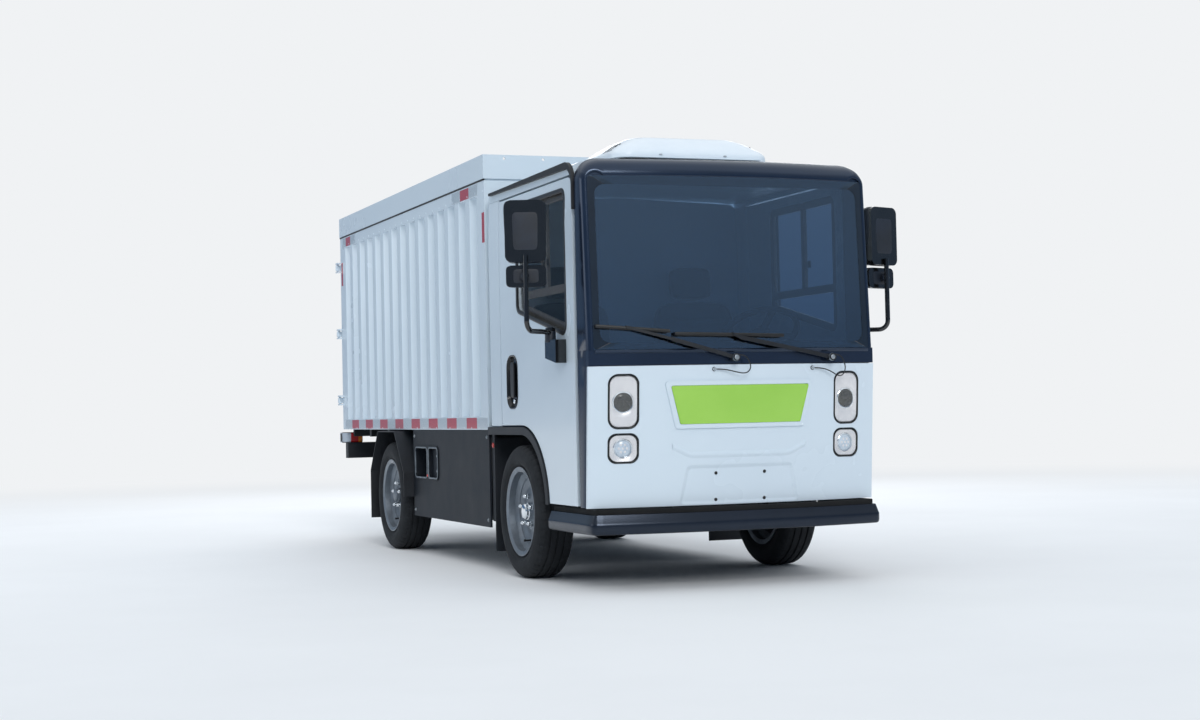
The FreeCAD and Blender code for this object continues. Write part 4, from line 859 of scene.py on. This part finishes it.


# ---- Roof air conditioner ----
# A vacuum-formed white ABS hood on a black plinth. Its faces are satin, its sides are pierced
# with staggered round holes near the front, drawn as flat near-black discs of painted shade, and
# four screws hold it down.
hood_abs = coated("vacuum_formed_white_abs", "#E3ECF3", "#D9E4ED", 0.3, 3, 0.05, patch=0.4,
    **{"Coat Weight": 0.2})
low_line = boxed(-0.386, 0.386, station(402), station(925), 0.085, 16)
high_line = boxed(-0.262, 0.262, station(512), station(792), 0.085, 16)
climb = softened([(0.0, 1.915), (0.0, 1.93), (0.03, 1.942), (0.16, 1.96), (0.42, 1.983), (0.72, 2.006),
    (0.92, 2.017), (1.0, 2.0205)], 2)
line = low_line + climb[:, :1, None] * (high_line - low_line)
flank = np.concatenate([line, np.broadcast_to(climb[:, None, 1:], line.shape[:2] + (1,))], -1)
centre = np.array([0.0, station(660), 0.0])
crown = [flank[-1] + t * (centre + (0, 0, z) - flank[-1]) * (1, 1, 0) + (0, 0, z - 2.0205) for t,
    z in ((0.3, 2.0213), (0.7, 2.0219), (1.0, 2.022))]
lip = [flank[0] * (1, 1, 0) + (0, 0, 1.9145) + t * (centre - flank[0] * (1, 1, 0)) for t in (1.0, 0.06)]
hood = surface("hood_shell", np.concatenate([np.stack(lip), flank, np.stack(crown)]), hood_abs,
    "body_white", crease=40)
# The plinth's black also paints the shade under the hood's lip, where it shows as a dark line
surface("hood_plinth", rounded_block(at(0, 664, 1890), (352, 236, 25.5), 0.1), hose_rubber, "black_rubber")
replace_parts(hood, "roof_air_conditioner")
# The holes are not cut through: each is a thin near-black disc in the hood's face, painted shade for the
# hollow behind it
painted_hole_shade = coated("pierced_hole_shadow", "#05070A", "#090B0E", 0.9, 2, 0.01, patch=0.1)
column_s, row = np.meshgrid(np.arange(14), np.arange(5))
share = 0.14 + 0.085 * row.ravel()
spot_s = 506.0 + 15.0 * column_s.ravel() + 7.5 * (row.ravel() % 2)
spot_z = np.interp(share, climb[4:, 0], climb[4:, 1])
slope_x = 0.386 - 0.124 * share
spots = np.stack([slope_x, station(spot_s), spot_z], -1)[spot_s < 640.0 - 100.0 * share]
disc = lathe([(-1.2, 0), (-1.2, 4.6), (0.7, 4.6), (0.7, 0)], 10)
lean = math.atan2(0.124, 0.088)
c, s = math.cos(lean), math.sin(lean)
disc = disc @ np.array([(c, 0, s), (0, 1, 0), (-s, 0, c)])
surface("hood_hole_shade_discs", both(spread(disc, spots)), painted_hole_shade, "black_rubber")
head = lathe([(0, 0), (0, 8.5), (2.2, 8), (4, 5), (4.4, 0)], 20)[..., [2, 1, 0]]
spots = np.array([(x, station(s), z) for x, s, z in ((-0.17, 402.5, 1.927), (0.15, 402.5, 1.927),
    (-0.24, 924.5, 1.927), (0.24, 924.5, 1.927))], float)
surface("hood_screws", spread(head, spots), zinc, "wheel_silver")


# ---- Cargo box ----
# Side walls of pressed steel, white enamelled, with fifteen grooves. Blind rivets run along the
# rails, a black sealant line shows under the roof's edge, and strips of red and silver
# retroreflective film are stuck along the sill, on the top rail and on the corners.
rivet = lathe([(0, 0), (0, 5.2), (1.2, 4.6), (2.1, 2.6), (2.4, 0)], 14)
along_s = station(1465.0 + 130.0 * np.arange(24))
spots = np.concatenate([np.stack([0.686 + 0 * along_s, along_s, z + 0 * along_s], -1)
    for z in (0.7005, 1.876)])
surface("rail_rivets", both(spread(rivet, spots)), body_enamel, "body_white")
sealant = coated("black_joint_sealant", "#141618", "#1D1F21", 0.55, 3, 0.1, patch=0.2)
bead = np.array([(0.0, 0.0), (0.003, 0.0015), (0.0034, 0.0045), (0.0028, 0.0085), (0.0, 0.0092),
    (-0.002, 0.0046)])
ends = station(np.array([1441.0, 4569.0]))[:, None]
line = np.stack([0.6862 + bead[None, :, 0] + 0 * ends, ends + 0 * bead[None, :, 0], 1.9268
    + bead[None, :, 1] + 0 * ends], -1)
surface("roof_sealant", both(line), sealant, "black_rubber")


def film(name, colour, second):
    """Retroreflective film: 3 mm hexagonal cells under a clear face, bright where they mirror."""
    material, tree, place = blank(name)
    cells = add_node(tree, "TexVoronoi", {"Scale": 330.0}, {"Vector": place}, feature="DISTANCE_TO_EDGE")
    wall = ramp(tree, cells.outputs["Distance"], (0.03, second), (0.12, colour))
    finished(tree, {"Roughness": 0.28, "Metallic": 0.25, "Coat Weight": 0.7, "Coat Roughness": 0.06}, None,
        0.0, Base_Color=wall)
    return material


red_film = film("red_retroreflective_film", "#CC1E2C", "#A01722")
silver_film = film("silver_retroreflective_film", "#CBD5DA", "#AAB6BD")


def strips(spans, low, high, x=0.6862):
    """Flat film patches: for each (start, end) station, an 0.6 mm slab between two heights."""
    spans = station(np.asarray(spans, float))
    across_x = x + np.array([0.0, 0.0006, 0.0006, 0.0])
    up = np.array([low, low + 0.0006, high - 0.0006, high])
    inset = np.array([0.0, 0.0005, 0.0005, 0.0])
    grid = np.zeros((len(spans), 6, 4, 3))
    ends = np.stack([spans[:, 0], spans[:, 0], spans[:, 0], spans[:, 1], spans[:, 1], spans[:, 1]], 1)
    shrink = np.array([0, 0, 1, -1, 0, 0])
    full = np.array([0, 1, 1, 1, 1, 0])
    grid[..., 0] = x + full[None, :, None] * (across_x - x)[None, None, :]
    grid[..., 1] = ends[..., None] + shrink[None, :, None] * inset[None, None, :]
    middle = (low + high) / 2
    grid[..., 2] = np.where(full[None, :, None] == 1, up[None, None, :], middle)
    grid[:, 0, :, 1], grid[:, 5, :, 1] = ends[:, :1], ends[:, 5:]
    return both(grid)


step = (4499.0 - 1452.0) / 17
odd = [(1452.0 + step * k, 1452.0 + step * (k + 1)) for k in range(17)]
surface("sill_film_red", strips(odd[1::2], 0.697, 0.752), red_film, "tail_red", loop_v=False)
surface("sill_film_silver", strips(odd[0::2], 0.697, 0.752), silver_film, "wheel_silver", loop_v=False)
surface("rail_film_red", strips([(1700.0, 1850.0), (4290.0, 4410.0)], 1.866, 1.921), red_film, "tail_red",
    loop_v=False)
surface("rail_film_silver", strips([(1550.0, 1699.0), (1851.0, 2000.0), (4170.0, 4289.0), (4411.0, 4495.0)],
    1.866, 1.921), silver_film, "wheel_silver", loop_v=False)
surface("corner_film_red", strips([(1444.0, 1484.0), (4505.0, 4545.0)], 1.62, 1.77), red_film, "tail_red",
    loop_v=False)


# ---- Rear doors ----
# Two barn doors in the body's enamel with rubber seals round them and between them. Galvanised
# lock rods, their brackets and handles close them, and zinc shows the grey spangle of its bath.
rods, turn = [], np.linspace(0, 2 * np.pi, 20, endpoint=False)
for rod_x in (0.15, 0.43):
    z = np.array([0.776, 0.776, 1.845, 1.845])[:, None]
    r = np.array([0.0, 0.0113, 0.0113, 0.0])[:, None]
    rods.append(np.stack([rod_x + r * np.cos(turn), station(4585) + r * np.sin(turn), z + 0 * turn], -1))
paired("lock_rods", np.stack(rods), "rear_door", zinc, "wheel_silver")
clips = np.stack([rounded_block((rod_x, station(4579), z), (25, 12.5, 18.5), 0.15, 12, 32)
    for rod_x in (0.15, 0.43) for z in (0.825, 1.0, 1.5, 1.794)])
paired("rod_brackets", clips, "rear_door", zinc, "wheel_silver")
grips = np.stack([rounded_block((rod_x + 0.098, station(4583), 1.22), (96, 6.8, 14.8), 0.2, 12, 40)
    for rod_x in (0.15, 0.43)])
paired("rod_handles", grips, "rear_door", zinc, "wheel_silver")
edge = boxed(0.006, 0.611, 0.766, 1.853, 0.012)
x, z, y = nested(edge, (0.3085, 1.3095), [(0.985, station(4564.6)), (0.99, station(4568)),
    (1.0, station(4568.2)), (1.0, station(4560)), (0.985, station(4560))])
paired("rear_seal", np.stack([x, y, z], -1), "rear_door", glazing_rubber, "black_rubber", loop_u=True)


# ---- Rear bumper and tail lamps ----
# A folded steel beam in black, with a moulded lamp box on each end. The lenses are red, amber and
# clear acrylic side by side, each with fine vertical flutes.
dress(trim, "rear_bumper")
lamp_lens, tree, place = blank("fluted_acrylic_lens")
sideways = add_node(tree, "SeparateXYZ", links={"Vector": place}).outputs["X"]
reach = add_node(tree, "Math", links={0: sideways}, operation="ABSOLUTE")
span = add_node(tree, "MapRange", {"From Min": 0.578, "From Max": 0.712}, {"Value": reach.outputs[0]})
tone = ramp(tree, span.outputs["Result"], (0.0, "#D97A12"), (0.2, "#B3151B"), (0.56, "#C3CFDC"),
    blend="CONSTANT")
flutes = add_node(tree, "TexWave", {"Scale": 90.0}, {"Vector": place}, bands_direction="X")
finished(tree, {"Roughness": 0.16, "IOR": 1.49, "Coat Weight": 0.5}, flutes.outputs["Fac"], 0.0006,
    Base_Color=tone)
dress(lamp_lens, "tail_lamps")
edge = boxed(0.577, 0.713, 0.606, 0.673, 0.011)
x, z, y = nested(edge, (0.645, 0.6395), [(1.0, station(4501)), (1.0, station(4546)), (0.97, station(4548)),
    (0.97, station(4501))])
surface("lamp_surrounds", both(np.stack([x, y, z], -1)), trim, "bumper_black", loop_u=True)


# ---- Side skirts ----
# Flat folded steel in dark slate paint, bolted at its corners. The service port has two framed
# openings, rubbed through to a paler grey round their lips, one with a bolted plate in it.
slate = coated("slate_painted_steel", "#0A121B", "#101924", 0.55, 2.2, 0.08, patch=0.28,
    **{"Specular IOR Level": 0.35})
dress(slate, "side_skirts")
worn = coated("rubbed_slate_edge", "#565F67", "#7B848B", 0.42, 2, 0.06, patch=0.05)
lips = []
for low_s, high_s in ((2355.0, 2549.0), (2563.0, 2812.0)):
    port = boxed(station(low_s), station(high_s), 0.423, 0.597, 0.03)
    lips.append(carried(port, [(-8.5, -2), (-8, 0.8), (-5.5, 1.8), (-3, 1.8), (-0.5, 0.6), (0, -4),
        (-8.5, -4)], lambda z: 0.69 + 0 * z))
surface("port_frames", both(np.stack(lips)), worn, "bumper_black", loop_u=True)
surface("port_dividers", both(rounded_block(at(688, 2556, 510), (2.6, 8.5, 84), 0.2)), slate,
    "bumper_black")
surface("port_plates", both(rounded_block(at(662, 2455, 510), (3.5, 93, 79), 0.08)), slate, "bumper_black")
bolt = lathe([(0, 0), (0, 9.5), (1.2, 9.5), (1.2, 7), (5.2, 6.6), (6, 4), (6.2, 0)], 24)
spots = np.array([(x, station(s), z) for x, s, z in ((0.6655, 2440.0, 0.548), (0.6655, 2440.0, 0.466),
    (0.684, 1475.0, 0.655), (0.684, 1475.0, 0.245), (0.684, 2832.0, 0.655), (0.684, 2832.0, 0.245))], float)
surface("skirt_bolts", both(spread(bolt, spots)), zinc, "wheel_silver")
button = lathe([(0, 0), (0, 8), (3.5, 7.5), (5, 4), (5.2, 0)], 24, at(689.5, 2556, 440))
surface("port_buttons", both(button), lens_red, "tail_red")
